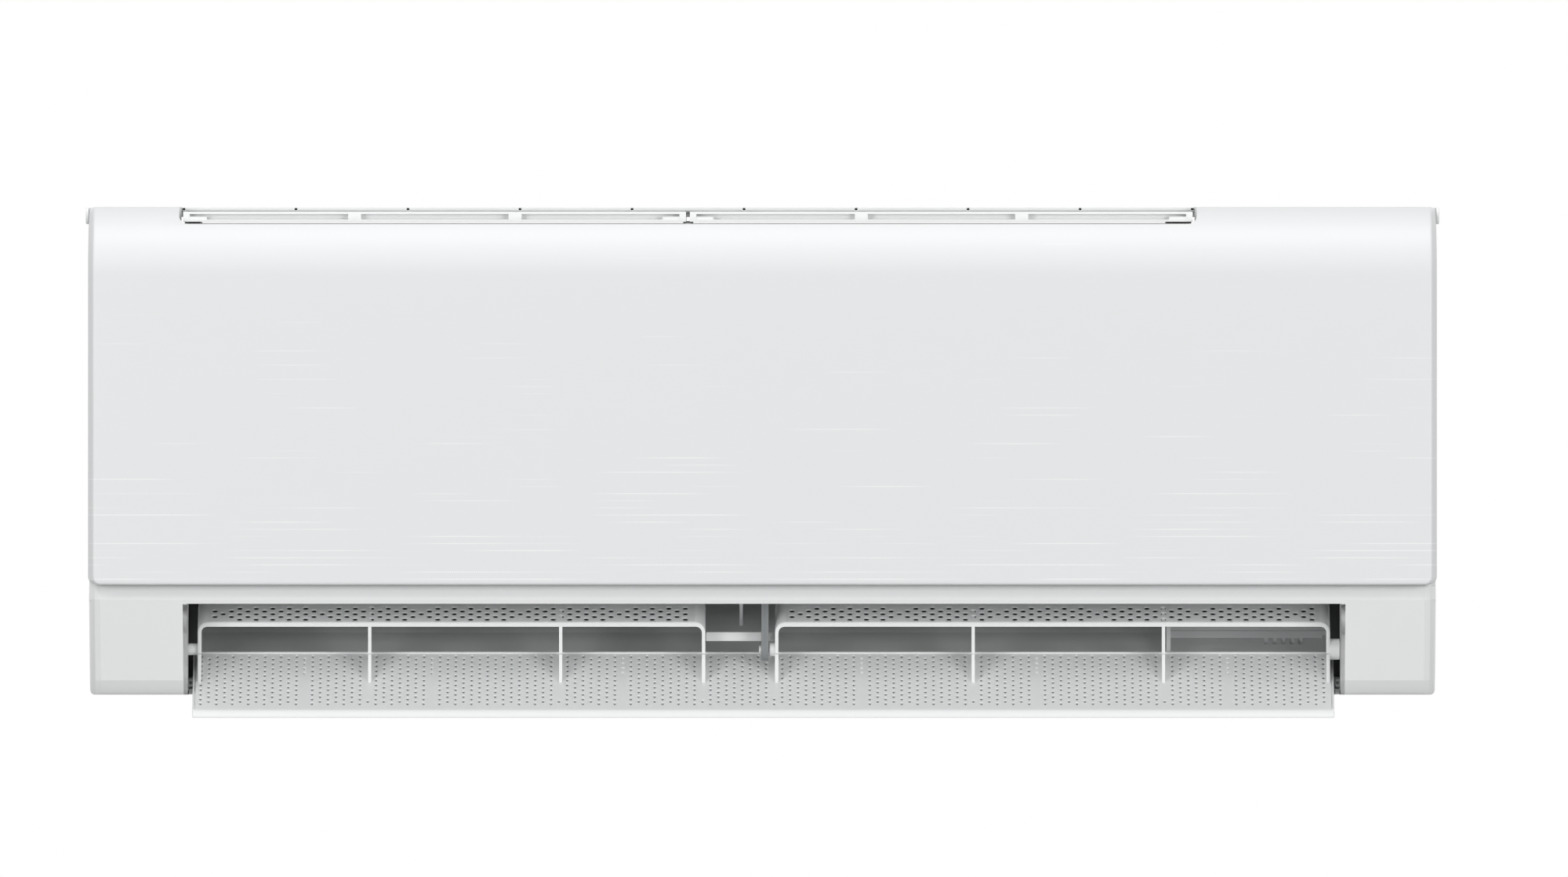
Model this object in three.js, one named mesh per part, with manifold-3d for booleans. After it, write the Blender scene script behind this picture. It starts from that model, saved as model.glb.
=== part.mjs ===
// The indoor unit of a mini split air conditioner, as it hangs on a wall, in millimetres.
// X runs along the unit, +Y points into the wall and +Z is up. The origin is the middle of the
// mounting plate's back face, on the wall. Side profiles are drawn as [distance from the wall,
// height above the unit's underside], because that is how the mouldings are dimensioned.
import * as THREE from "three";
import { mergeVertices } from "three/addons/utils/BufferGeometryUtils.js";
import Module from "manifold-3d";

const wasm = await Module();
wasm.setup();

// ---------------------------------------------------------------- driving dimensions

const unitHeight = 301.5; // underside to top face
const casingHalf = 415.5; // half width of the casing behind the front panel
const wall = 2.6; // moulded wall of the casing and chassis
const gap = 0.3; // seat clearance between pieces that rest on each other
const casingBack = 6; // the casing stops this far from the wall
const far = casingHalf + 100; // beyond every piece, for cuts that run right through

const casingFront = 180; // front wall of the casing, from the wall
const panelFront = casingFront + 16; // front face of the panel
const panelHalf = casingHalf + 0.4;
const panelWall = 3;
const panelBottom = 68.2;
const panelReturn = 165; // how far back the panel's side walls reach
const panelShoulder = { low: 262, high: 290 }; // the side walls' rear line slopes back between these
const panelRear = 143.5; // the panel's rear edge over the intake
const crownDepth = 56; // the panel's crown is a quarter ellipse of this depth and height
const crownHeight = 42.5;
const panelHinge = { d: casingFront - 34, z: 296, pin: 2, ear: 5, earThick: 1.8, root: 118 };

const endBay = 60.5; // from the casing's end to the outlet
const outletLeft = endBay - casingHalf; // the air outlet's ends
const outletRight = casingHalf - endBay + 2;
const outletTop = 56.4;
const outletBack = 112; // the outlet's cheeks begin here
const lowerFaceTop = { d: casingFront + 6, z: 59 }; // top edge of the sloping lower face
const lowerFaceFoot = { d: lowerFaceTop.d - 30, z: 9 };
const bottomFront = lowerFaceFoot.d - 16; // where the underside begins
const lug = { out: 2.6, low: 4.9, high: 9.7, hole: 0.8 }; // screw lugs inside the outlet's ends

const ductLeft = outletLeft + 6; // inside faces of the duct's end walls
const electricalBay = 107; // the motor and the control box take this much of the right end
const ductRight = outletRight - electricalBay;
const scrollBack = 111; // the chassis' underside ends where the duct's lip begins

const intakeLeft = outletLeft - 5; // the top intake, which is offset from the electrical side
const intakeRight = ductRight + 18;
const filterSeam = (intakeLeft + intakeRight) / 2; // where the two filters meet
const intakeSill = 291.4; // height of the slot that the filters slide out of
const intakeBack = 30;
const intakeFront = 139;
const grille = { bar: 2.4, across: 9, deep: 5, thick: 2.4, below: 0.2 };
const filterTray = {
  back: 40, front: 160, low: 293.2, thick: 3.2, net: 0.7, edge: 4,
  railFront: 168, railTop: 298.4, tab: 11, ribs: [0.341, 0.66],
};

const fan = {
  d: 83, z: 122, radius: 47, left: ductLeft + 6, right: ductRight - 7, blades: 22, modules: 3, disc: 2.4,
};
const bearing = { seat: 9, radius: 8.7, flange: 12, bore: 3.5, stub: 3.2 };
const fanBore = 4.3; // the hub's and the motor's bores for the shaft

const flapPivot = { d: casingFront - 44.2, z: 28.1 };
const flapOpen = 80; // degrees from closed to the rest pose
const flapLeft = outletLeft + 3;
const flapRight = outletRight - 4;
const stiffenerShares = [0.0991, 0.2109, 0.3769, 0.5864, 0.7395, 0.9064]; // along the flap
const stiffener = 2;
const louvre = { rim: 3.1, wall: 2.2, rib: 2, corner: 6.5, front: 142, back: 116, top: 44.9, slope: 30 };
const splitHeight = 25.5; // the upper vanes meet the flap's ribs at this height, when open
const boss = { left: 3.6, inner: 4.35, right: 6.5, pin: 2.4, drive: 5 }; // radii on the pivot
const vaneSpans = [
  { name: "left", x0: flapLeft + 3, x1: -35.3, shares: [0.339, 0.715] },
  { name: "right", x0: 7.7, x1: flapRight - 2.3, shares: [0.357, 0.7] },
].map((span) => ({ ...span, ribs: span.shares.map((share) => span.x0 + share * (span.x1 - span.x0)) }));

const vane = { pivotD: 124, pinD: 87.5, thick: 2, count: 7, pivot: 1.8, pin: 1.3 };
const vanePitch = (ductRight - ductLeft - 63.2) / (2 * vane.count);
const vaneBanks = [
  { name: "left", first: ductLeft + 29.6 },
  { name: "right", first: ductLeft + 29.6 + (vane.count + 1) * vanePitch },
];
const tieRod = { low: 56.5, thick: 3, half: 3.2, overhang: 4 };

const coil = {
  left: ductLeft - wall, right: ductRight + wall, thick: 25, tube: 3.4, sheet: 1.3, groove: 1.6, group: 30,
};
const coilPacks = {
  front_lower: [[150, 93], [152, 172]],
  front_upper: [[147, 182], [104, 264]],
  rear: [[80, 258], [34, 187]],
};
const pan = { left: ductLeft - 21, right: ductRight + 27, front: casingFront - 13, high: 91, rest: 92.3 };
const spigot = { d: casingFront - 23, z: 70, radius: 7, bore: 5.2, left: 18, right: 14 };
const motor = { radius: 40, left: ductRight + 18, right: ductRight + 76, hub: 12 };
const cradle = { front: 130, back: 24, plate: 3, inset: 15.5 };
const controlBox = {
  x0: casingHalf - 77.5, x1: casingHalf - 11.5, back: 60, front: 150, z0: 92, z1: 258, wall: 2,
};
const boardSheet = 1.6; // thickness of the circuit boards
const cover = 2; // the control box's lid
const button = { x: controlBox.x1 - 32, z: 150, radius: 4.2, flange: 6.4, back: 171 };
const gasPipe = { radius: 4.76, d: 15.6, z: 54 };
const liquidPipe = { radius: 3.2, d: 14, z: 34 };
const nutAt = -40; // the flare nuts begin here, in the channel behind the unit
const channel = { low: 14, high: 76, depth: 36 }; // the pipe channel along the unit's back
const holder = { x0: 60, x1: 92, sheet: 3, back: 7.9, front: 24 }; // the clip on the pipes
const backPlane = 5; // the chassis' back, from the wall
// the plate screwed to the wall
const plate = { half: casingHalf - 130.5, low: 84, high: 266, sheet: 1.2, screw: 2.6, hook: 28 };
const hookX = [-1, 0, 1].map((side) => side * (plate.half - 55));

// ---------------------------------------------------------------- solids

/** A closed three.js geometry as a solid that can be cut and joined. */
function solidOf(geometry) {
  const bare = new THREE.BufferGeometry();
  bare.setAttribute("position", geometry.getAttribute("position"));
  bare.setIndex(geometry.index);
  const merged = mergeVertices(bare, 1e-3);
  return new wasm.Manifold(
    new wasm.Mesh({
      numProp: 3,
      vertProperties: new Float32Array(merged.attributes.position.array),
      triVerts: new Uint32Array(merged.index.array),
    }),
  );
}

/** A solid's triangles as a flat-shaded three.js geometry. */
function geometryOf(solid) {
  const mesh = solid.getMesh();
  const geometry = new THREE.BufferGeometry();
  geometry.setAttribute("position", new THREE.BufferAttribute(new Float32Array(mesh.vertProperties), 3));
  geometry.setIndex(new THREE.BufferAttribute(new Uint32Array(mesh.triVerts), 1));
  const flat = geometry.toNonIndexed();
  flat.computeVertexNormals();
  return flat;
}

const xAxis = new THREE.Vector3(1, 0, 0);
const yAxis = new THREE.Vector3(0, 1, 0);
const zAxis = new THREE.Vector3(0, 0, 1);
const sideways = new THREE.Matrix4().makeBasis(yAxis, zAxis, xAxis);

/** A side profile of [distance from the wall, height] points, drawn out from x0 to x1. */
function alongX(profile, x0, x1) {
  const shape = new THREE.Shape(profile.map(([d, z]) => new THREE.Vector2(-d, z)));
  const geometry = new THREE.ExtrudeGeometry(shape, { depth: x1 - x0, bevelEnabled: false });
  geometry.applyMatrix4(sideways).translate(x0, 0, 0);
  return solidOf(geometry);
}

/** A front outline of [x, height] points, drawn out from d0 to d1 away from the wall. */
function alongDepth(outline, d0, d1) {
  const shape = new THREE.Shape(outline.map(([x, z]) => new THREE.Vector2(x, z)));
  const geometry = new THREE.ExtrudeGeometry(shape, { depth: d1 - d0, bevelEnabled: false });
  geometry.rotateX(Math.PI / 2).translate(0, -d0, 0);
  return solidOf(geometry);
}

/** A block between two X, two distances from the wall and two heights. */
function block(x0, x1, d0, d1, z0, z1) {
  const geometry = new THREE.BoxGeometry(x1 - x0, d1 - d0, z1 - z0);
  geometry.translate((x0 + x1) / 2, -(d0 + d1) / 2, (z0 + z1) / 2);
  return solidOf(geometry);
}

/** A round bar along X. */
function barX(radius, x0, x1, d, z, sides = 16) {
  const geometry = new THREE.CylinderGeometry(radius, radius, x1 - x0, sides);
  geometry.rotateZ(-Math.PI / 2).translate((x0 + x1) / 2, -d, z);
  return solidOf(geometry);
}

/** A round bar along Y, from distance d0 to d1 from the wall. */
function barY(radius, x, d0, d1, z, sides = 16) {
  const geometry = new THREE.CylinderGeometry(radius, radius, d1 - d0, sides);
  geometry.translate(x, -(d0 + d1) / 2, z);
  return solidOf(geometry);
}

/** A round tube along a curve, of the given radius. */
function tube(points, radius, steps, sides = 8) {
  const section = new THREE.Shape(
    range(sides).map((i) => {
      const turn = (2 * Math.PI * i) / sides;
      return new THREE.Vector2(radius * Math.cos(turn), radius * Math.sin(turn));
    }),
  );
  const path = new THREE.CatmullRomCurve3(points.map(([x, d, z]) => new THREE.Vector3(x, -d, z)));
  return solidOf(new THREE.ExtrudeGeometry(section, { steps, extrudePath: path, bevelEnabled: false }));
}

function range(count) {
  return Array.from({ length: count }, (_, i) => i);
}

function join(...solids) {
  return solids.flat().reduce((sum, next) => sum.add(next));
}

function cut(solid, ...tools) {
  return tools.flat().reduce((left, tool) => left.subtract(tool), solid);
}

/** Points of an ellipse about (d, z), from one angle to another in degrees. */
function arc(d, z, radiusD, radiusZ, from, to, steps) {
  return range(steps + 1).map((i) => {
    const turn = THREE.MathUtils.degToRad(from + ((to - from) * i) / steps);
    return [d + radiusD * Math.cos(turn), z + radiusZ * Math.sin(turn)];
  });
}

/** An open line of points moved sideways by a distance, to the left of its direction. */
function offset(points, distance) {
  const normals = points.slice(1).map(([d, z], i) => {
    const along = new THREE.Vector2(d - points[i][0], z - points[i][1]).normalize();
    return new THREE.Vector2(-along.y, along.x);
  });
  return points.map(([d, z], i) => {
    const before = normals[Math.max(i - 1, 0)];
    const after = normals[Math.min(i, normals.length - 1)];
    const mitre = before.clone().add(after).normalize();
    const reach = distance / Math.max(mitre.dot(after), 0.3);
    return [d + mitre.x * reach, z + mitre.y * reach];
  });
}

/** A wall of even thickness along an open line of points, to the left of its direction. */
function strip(points, thickness) {
  return [...points, ...offset(points, thickness).reverse()];
}

// ---------------------------------------------------------------- profiles

const topFace = unitHeight;
const crownBase = topFace - crownHeight; // height where the panel starts to curve back
const crownCentre = panelFront - crownDepth;
const cove = arc(lowerFaceTop.d - 0.4, 69, lowerFaceTop.d - 0.4 - casingFront, 10, -90, -180, 4);
const lowerFace = [
  [bottomFront, 0], [bottomFront + 6, 1.5],
  [lowerFaceFoot.d, lowerFaceFoot.z], [lowerFaceTop.d, lowerFaceTop.z],
];
const casingCrown = arc(intakeFront, crownBase - 1, casingFront - intakeFront, 35, 0, 90, 6);
const casingOutline = [
  [casingBack, 0], ...lowerFace, ...cove, ...casingCrown,
  [intakeFront, topFace], [intakeBack, topFace], [casingBack, topFace - 5],
];
const casingHollow = [
  [casingBack - 20, wall],
  ...offset(
    [[casingBack, 0], ...lowerFace, ...cove, ...casingCrown, [intakeFront, topFace]].slice(1, -1), wall),
  [intakeFront - wall, topFace - wall], [intakeBack, topFace - wall], [casingBack - 20, topFace - wall - 6],
];

/** The duct's floor and back, which wrap under and behind the fan as a widening scroll. */
const scroll = [
  [102, 6], [92, 13], [75, 24], [58, 38], [44, 56], [34, 78], [28.5, 100], [27.5, 120], [31, 140], [38, 156],
];
const ceiling = [[lowerFaceTop.d - 9.2, outletTop + 0.8], [158, 59.5], [140, 65], [127, 75], [121.5, 79]];
const tongue = [[127, 75], [120, 86], [119.5, 91]];

// ---------------------------------------------------------------- materials

function finish(color, roughness, metalness = 0) {
  return new THREE.MeshStandardMaterial({ color, roughness, metalness });
}

const glossWhite = finish(0xf1f3f3, 0.22);
const satinWhite = finish(0xeceeed, 0.38);
const innerWhite = finish(0xdcdedd, 0.45);
const ductGrey = finish(0xa3a5a5, 0.5);
const darkGrey = finish(0x3a3d3e, 0.55);
const filterGrey = finish(0xc9cccc, 0.6);
const galvanised = finish(0xaeb2b5, 0.38, 0.9);
const copper = finish(0xb87333, 0.3, 1);
const brass = finish(0xc9a24a, 0.35, 1);
const aluminium = finish(0xb9c4cc, 0.4, 0.9);
const fanGrey = finish(0x4a4d50, 0.5);
const blackPlastic = finish(0x1d1f20, 0.5);
const boardGreen = finish(0x1f6b3a, 0.5);
const rubber = finish(0x222222, 0.85);
const steel = finish(0xc4c7ca, 0.25, 1);

const unit = new THREE.Group();
unit.position.z = -(plate.low + plate.high) / 2;

function add(parent, name, solid, material) {
  const mesh = new THREE.Mesh(geometryOf(solid), material);
  mesh.name = name;
  parent.add(mesh);
  return mesh;
}

// ---------------------------------------------------------------- casing

/** A block that lies on one side of the unit, between two distances from its middle. */
function sideBlock(side, inner, outer, ...rest) {
  return block(Math.min(side * inner, side * outer), Math.max(side * inner, side * outer), ...rest);
}

/** A bar along X on one side of the unit, between two distances from its middle. */
function sideBar(side, radius, inner, outer, d, z) {
  return barX(radius, Math.min(side * inner, side * outer), Math.max(side * inner, side * outer), d, z, 12);
}

/** A side's hinge ear, outside the panel, with a hole for the panel's pin. */
function hingeEar(side) {
  const { d, z, pin, ear, earThick, root } = panelHinge;
  const inner = panelHalf + gap;
  const outer = inner + earThick;
  const nose = arc(d, z, ear, ear, -90, 90, 6);
  const [x0, x1] = [Math.min(side * inner, side * outer), Math.max(side * inner, side * outer)];
  const plate = alongX([[root, z - ear], ...nose, [root, z + ear]], x0, x1);
  const foot = sideBlock(side, casingHalf - 1, outer, root, intakeFront - 0.5, z - ear, z + ear);
  return cut(join(plate, foot), sideBar(side, pin + gap, panelHalf - wall, outer - 0.6, d, z));
}

/** A lug inside an end of the outlet, with the hole for a fixing screw. */
function screwLug(side) {
  const [x0, x1] = side < 0
    ? [outletLeft - 1, outletLeft + lug.out]
    : [outletRight - lug.out, outletRight + 1];
  const middle = side < 0 ? x1 - lug.out / 2 : x0 + lug.out / 2;
  return cut(
    block(x0, x1, outletBack, outletBack + 3, lug.low, lug.high),
    barY(lug.hole, middle, outletBack - 5, outletBack + 8, (lug.low + lug.high) / 2, 10),
  );
}

/** A row of equal openings between two X, with bars of the given width between them. */
function bays(x0, x1, count, bar) {
  const width = (x1 - x0 - bar * (count - 1)) / count;
  return range(count).map((i) => [x0 + i * (width + bar), x0 + i * (width + bar) + width]);
}

/** The casing's windows onto the coil, and its holes for the wiring and the button. */
function casingOpenings() {
  const windows = bays(ductLeft + 11, ductRight - 12, 4, 8).flatMap(([x0, x1]) => [
    block(x0, x1, 150, panelFront, 92, 168), block(x0, x1, 150, panelFront, 176, 246)]);
  return [
    ...windows,
    block(controlBox.x0 - 16, controlBox.x1 - 8, 150, panelFront, 84, 128),
    barY(button.radius + 0.4, button.x, 150, panelFront, button.z, 12),
    block(intakeLeft + 1, intakeRight - 1, intakeBack, panelFront, intakeSill, topFace + 10),
    block(outletLeft, outletRight, 100, panelFront, -10, outletTop),
    block(wall - casingHalf, casingHalf - wall, -50, scrollBack, -10, wall + 1),
  ];
}

function frontCasing() {
  const clear = 1.2; // around the panel's side walls
  const shoulder = [
    [panelReturn - clear, panelBottom - clear], [panelFront, panelBottom - clear], [panelFront, topFace + 10],
    [intakeFront, topFace + 10], [intakeFront, panelShoulder.high + 0.5],
    [panelRear - 0.9, panelShoulder.high - 0.7], [panelReturn - clear, panelShoulder.low - 0.4],
  ];
  const sideSeat = panelHalf - panelWall - 0.7; // the panel's side walls pass outside this
  const body = cut(
    alongX(casingOutline, -casingHalf, casingHalf),
    alongX(shoulder, sideSeat, far), alongX(shoulder, -far, -sideSeat),
  );
  const behindPanel = block(-far, far, -20, panelReturn - clear - wall, -10, topFace + 10);
  const hollow = join(
    alongX(casingHollow, wall - sideSeat, sideSeat - wall),
    alongX(casingHollow, wall - casingHalf, casingHalf - wall).intersect(behindPanel),
  );
  const cheekShape = alongX(casingOutline, -far, far).intersect(
    block(-far, far, outletBack, lowerFaceTop.d + 3, -1, outletTop));
  const bushHole = barX(boss.drive + gap, -far, far, flapPivot.d, flapPivot.z, 20);
  const cheeks = [[outletLeft - wall, outletLeft], [outletRight, outletRight + wall]].map(([x0, x1]) =>
    cut(cheekShape.intersect(block(x0, x1, 0, panelFront, -10, 100)), bushHole));
  const fixings = [-1, 1].flatMap((side) => [screwLug(side), hingeEar(side)]);
  return join(cut(body, hollow, casingOpenings()), cheeks, fixings);
}

add(unit, "front_casing", frontCasing(), satinWhite);

/** The grille over the filters, an even grid of slots in one moulding. */
function topGrille() {
  const { bar, across, deep, thick, below } = grille;
  const [x0, x1] = [intakeLeft + 1 + gap, intakeRight - 1 - gap];
  const [d0, d1] = [intakeBack + gap, intakeFront - gap];
  const slots = bays(x0 + bar, x1 - bar, across, bar).flatMap(([left, right]) =>
    bays(d0 + bar, d1 - bar, deep, bar).map(([back, front]) =>
      block(left, right, back, front, topFace - 20, topFace + 20)));
  return cut(block(x0, x1, d0, d1, topFace - below - thick, topFace - below), slots);
}

add(unit, "top_grille", topGrille(), satinWhite);

// ---------------------------------------------------------------- front panel

/** The panel: one shell that is the front, the crown over it and the two sides. */
function frontPanel() {
  const crown = arc(crownCentre, crownBase, crownDepth, crownHeight, 0, 86.5, 9);
  const outer = [
    [panelReturn, panelBottom], [panelFront, panelBottom], ...crown,
    [panelRear, panelShoulder.high], [panelReturn, panelShoulder.low],
  ];
  const lip = casingFront + 2.6;
  const inner = [
    [intakeFront - 20, panelBottom - 10], [lip, panelBottom - 10], [lip, panelBottom + panelWall],
    [panelFront - panelWall, panelBottom + panelWall],
    ...arc(crownCentre, crownBase, crownDepth - panelWall, crownHeight - panelWall, 0, 90, 9),
    [intakeFront - 20, topFace - panelWall],
  ];
  const sideWall = panelWall + 0.3;
  const shell = cut(
    alongX(outer, -panelHalf, panelHalf),
    alongX(inner, sideWall - panelHalf, panelHalf - sideWall),
    block(intakeLeft, intakeRight, 100, panelFront, intakeSill + 0.2, topFace + 10),
  );
  const { pin, d, z } = panelHinge;
  const pins = [-1, 1].map((side) => sideBar(side, pin, panelHalf - 1, panelHalf + 1.2, d, z));
  return join(shell, pins);
}

add(unit, "front_panel", frontPanel(), glossWhite);

// ---------------------------------------------------------------- filters

/** A filter: a thin frame with two cross ribs and a pull rail, which has a pocket in each cell. */
function airFilter(x0, x1) {
  const { back, front, low, thick, net, edge, railFront, railTop, tab, ribs } = filterTray;
  const edges = [x0, ...ribs.map((share) => x0 + share * (x1 - x0)), x1];
  const railLow = intakeSill + 0.8;
  const spans = range(edges.length - 1).map((i) => [edges[i], edges[i + 1]]);
  const cells = spans.map(([a, b]) =>
    block(a + edge, b - edge, back + 6, front - 6, low + net, low + thick + 1));
  const lip = 1.4; // the pull rail's own walls
  const pockets = spans.map(([a, b]) =>
    block(a + edge, b - edge, front + lip, railFront + 10, railLow + lip, railTop - lip));
  const tabs = [x0 + 9, x1 - 9].map((x) =>
    block(x - tab / 2, x + tab / 2, front + 0.5, railFront - 0.6, railLow + 0.7, railTop - 3));
  const tray = block(x0, x1, back, front, low, low + thick);
  const rail = block(x0, x1, front - 1, railFront, railLow, railTop);
  return join(cut(join(tray, rail), cells, pockets), tabs);
}

add(unit, "filter_left", airFilter(intakeLeft + 2.5, filterSeam - 1.2), filterGrey);
add(unit, "filter_right", airFilter(filterSeam + 1.2, intakeRight - 2.5), filterGrey);

// ---------------------------------------------------------------- chassis, duct and drain pan

/** A thin plate across X, at x, with the given side profile. */
function plateAt(x, profile, thick = wall) {
  return alongX(profile, x - thick / 2, x + thick / 2);
}

/** The room along the unit's back for the pipes. */
function pipeChannel() {
  return block(-far, far, -10, channel.depth, channel.low, channel.high);
}

/** The part of the chassis that the air passes: the scroll, its end walls and the outlet's lip. */
function ductShell() {
  const mouth = scroll.slice(0, 4); // the floor's front runs on past the duct's ends
  const baffle = [[58, 38], [52, 52], [60, 72], [80, 79], [119, 79]];
  const pocket = block(ductRight + wall, outletRight - 10.1, 40, 80, 29.5, 39.6).intersect(
    alongX(strip([[76, 23], [57, 39]], 1.2), ductRight, outletRight));
  const slots = range(5).map((i) => outletRight - 46.3 + i * 5.35).map((x) =>
    block(x, x + wall, 50, 72, 31, 38.4));
  const tent = [
    [backPlane, 0.5], [93, 0.5], [93, 60], [119, 92], [134.5, 92], [134.5, 168], [93, 246], [89, 246],
    [50, 186], [44, 174], [backPlane, 174],
  ];
  return join(
    alongX(strip(scroll, wall), ductLeft - wall, ductRight + wall),
    cut(alongX(strip(mouth, wall), outletLeft, outletRight), pocket, slots),
    alongX(strip(baffle, -wall), ductRight, outletRight),
    alongX([[102, 6], [96, 1], [96, 0], [127.4, 0], [121.4, 2.8], [104, 4.4]], outletLeft + lug.out + gap,
      outletRight - lug.out - gap),
    cut(alongX(tent, ductLeft - wall, ductLeft),
      barX(bearing.seat, ductLeft - 10, ductLeft + 10, fan.d, fan.z, 20), pipeChannel()),
    cut(alongX(tent, ductRight, ductRight + wall),
      barX(fan.radius + 1, ductRight - 10, ductRight + 10, fan.d, fan.z, 32), pipeChannel()),
  );
}

/** The chassis' back with the pipe channel, the drip trough and the webs that carry the duct. */
function chassisBack() {
  const half = casingHalf - wall - gap;
  const back = block(-half, half, backPlane, backPlane + wall, channel.high + 2, 288);
  const sill = block(-half, half, backPlane, backPlane + wall, 0, channel.low);
  const underside = block(-half, half, backPlane, scrollBack - gap, 0, wall);
  const trough = [
    [38, 156], [41.5, 157], [41.5, 170], [39, 170], [39, 160], [backPlane, 160], [backPlane, 156.5],
  ];
  const web = [[backPlane, 78], [backPlane, 158], [38, 158], [31, 140], [27.5, 120], [28.5, 100], [34, 78]];
  const coilRest = [[18, 158], [41, 158], [44.2, 180], [23.2, 193.3], [18, 190]];
  const keel = [[58, 38], [75, 24], [92, 13], [100, 7], [100, 1], [62, 1]];
  const side = [[backPlane, 0.5], [104, 0.5], [104, 60], [40, 150], [backPlane, 200]];
  const reach = plate.hook / 2 + 3;
  const hookSlots = hookX.map((x) => block(x - reach, x + reach, 0, 10, plate.high - 12, plate.high));
  const webX = [0.25, 0.5, 0.75].map((share) => ductLeft + share * (ductRight - ductLeft));
  return join(
    cut(back, hookSlots), sill, underside, alongX(trough, ductLeft - wall, ductRight + wall),
    webX.flatMap((x) => [plateAt(x, web), plateAt(x, coilRest), plateAt(x, keel)]),
    [-1, 1].map((end) => cut(plateAt(end * (casingHalf - 8), side), pipeChannel())),
  );
}

/** Webs beside the duct that carry the fan motor and the control box, and the filters' rails. */
function chassisSupports() {
  const root = backPlane + 1;
  const bed = [
    [root, 80], [119, 80], [122, 82.5], [cradle.front, 82.5], [cradle.front, fan.z], [root, fan.z],
  ];
  const webs = [motor.left + cradle.inset, motor.right - cradle.inset - 5].map((x) => cut(
    plateAt(x, bed, cradle.plate), barX(motor.radius + gap, motor.left, motor.right, fan.d, fan.z, 32)));
  const shelfTip = controlBox.back - gap;
  const shelf = [controlBox.x0 + 14, controlBox.x1 - 14].map((x) => plateAt(x, [
    [root, 110], [shelfTip, 130], [shelfTip, 150], [root, 150]]));
  const railTop = filterTray.low - 0.4;
  const rails = [
    [intakeLeft + 3, ductLeft + 1], [filterSeam - 3, filterSeam + 3], [ductRight, intakeRight - 3],
  ]
    .map(([x0, x1]) => block(x0, x1, root, intakeFront - 1.2, 286, railTop));
  const railRoots = [ductLeft - 5, filterSeam, ductRight + 9].map((x) =>
    plateAt(x, [[root, 276], [20, 287], [root, 287]]));
  return join(webs, shelf, rails, railRoots);
}

add(unit, "rear_chassis", join(ductShell(), chassisBack(), chassisSupports()), innerWhite);

/** The drain pan is the duct's ceiling too, and the vertical vanes turn in its bosses. */
function drainPan() {
  const { left, right, front, high, rest } = pan;
  const section = [...ceiling, ...tongue.slice(1), [front, high], [front, outletTop + 3.6]];
  const trough = (x0, x1) => alongX(section, x0, x1);
  const restShape = [[134, 68], [150, 62], [front - 2, 60], [front - 4, rest], [137, rest], [134, 80]];
  const rests = [0.08, 0.38, 0.68, 0.96].map((share) =>
    plateAt(ductLeft + share * (ductRight - ductLeft), restShape));
  const bosses = vaneX().map((x) => block(x - 5, x + 5, vane.pivotD - 6, vane.pivotD + 6, 74.3, 84));
  const bores = vaneX().map((x) => barZ(vane.pivot + gap, x, vane.pivotD, 70, 82.5, 8));
  const spout = (radius, x0, x1) => barX(radius, x0, x1, spigot.d, spigot.z, 14);
  const spigots = [
    spout(spigot.radius, left - spigot.left, left + 1), spout(spigot.radius, right - 1, right + spigot.right),
  ];
  const spigotBores = [spout(spigot.bore, left - 30, left + 10), spout(spigot.bore, right - 10, right + 30)];
  return cut(join(
    alongX(strip(ceiling, -wall), outletLeft + gap, outletRight - gap),
    alongX(strip(ceiling.slice(0, 4), -wall), left, right),
    alongX(strip(tongue, -wall), left, right),
    block(left, right, front, front + wall, 59.5, high),
    trough(left, left + wall), trough(right - wall, right), rests, bosses, spigots,
  ), bores, spigotBores);
}

/** A round bar along Z. */
function barZ(radius, x, d, z0, z1, sides = 12) {
  const geometry = new THREE.CylinderGeometry(radius, radius, z1 - z0, sides);
  geometry.rotateX(Math.PI / 2).translate(x, -d, (z0 + z1) / 2);
  return solidOf(geometry);
}

function vaneX() {
  return vaneBanks.flatMap((bank) => range(vane.count).map((i) => bank.first + i * vanePitch));
}

add(unit, "drain_pan", drainPan(), innerWhite);
const plugEnd = pan.right + spigot.right;
add(unit, "drain_plug", join(
  barX(spigot.bore - gap, plugEnd - 6, plugEnd + 1, spigot.d, spigot.z, 14),
  barX(spigot.radius, plugEnd + gap, plugEnd + 3, spigot.d, spigot.z, 14),
), rubber);

// ---------------------------------------------------------------- mounting plate

/** The steel plate on the wall, with screw holes, stiffening beads and the hooks that hold the unit. */
function mountingPlate() {
  const { half, low, high, sheet, screw, hook } = plate;
  const screwHoles = [-half + 20, -half / 2, half / 2, half - 20].flatMap((x) =>
    [low + 20, high - 20].map((z) => barY(screw, x, -5, 10, z, 8)));
  const windows = [-2, -1, 1, 2].map((step) => (step * half) / 3).map((x) =>
    block(x - 32, x + 32, -5, 10, low + 34, low + 84));
  const beads = [low + 116, low + 130].map((z) =>
    block(-half + 10, half - 10, sheet - 0.2, backPlane - gap, z, z + 5));
  const hooks = hookX.flatMap((x) => [
    block(x - hook / 2, x + hook / 2, sheet - 0.2, 10.6, high - 10, high - 8.4),
    block(x - hook / 2, x + hook / 2, 9, 10.6, high - 10, high - 3),
  ]);
  return join(cut(block(-half, half, 0, sheet, low, high), windows, screwHoles), beads, hooks);
}

add(unit, "mounting_plate", mountingPlate(), galvanised);

// ---------------------------------------------------------------- heat exchanger and pipes

/** A fin pack's rectangle about its centre line, widened by grow. */
function packProfile([[d0, z0], [d1, z1]], grow = 0) {
  const along = new THREE.Vector2(d1 - d0, z1 - z0).normalize().multiplyScalar(grow);
  const line = [[d0 - along.x, z0 - along.y], [d1 + along.x, z1 + along.y]];
  return [...offset(line, coil.thick / 2 + grow), ...offset(line, -coil.thick / 2 - grow).reverse()];
}

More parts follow.
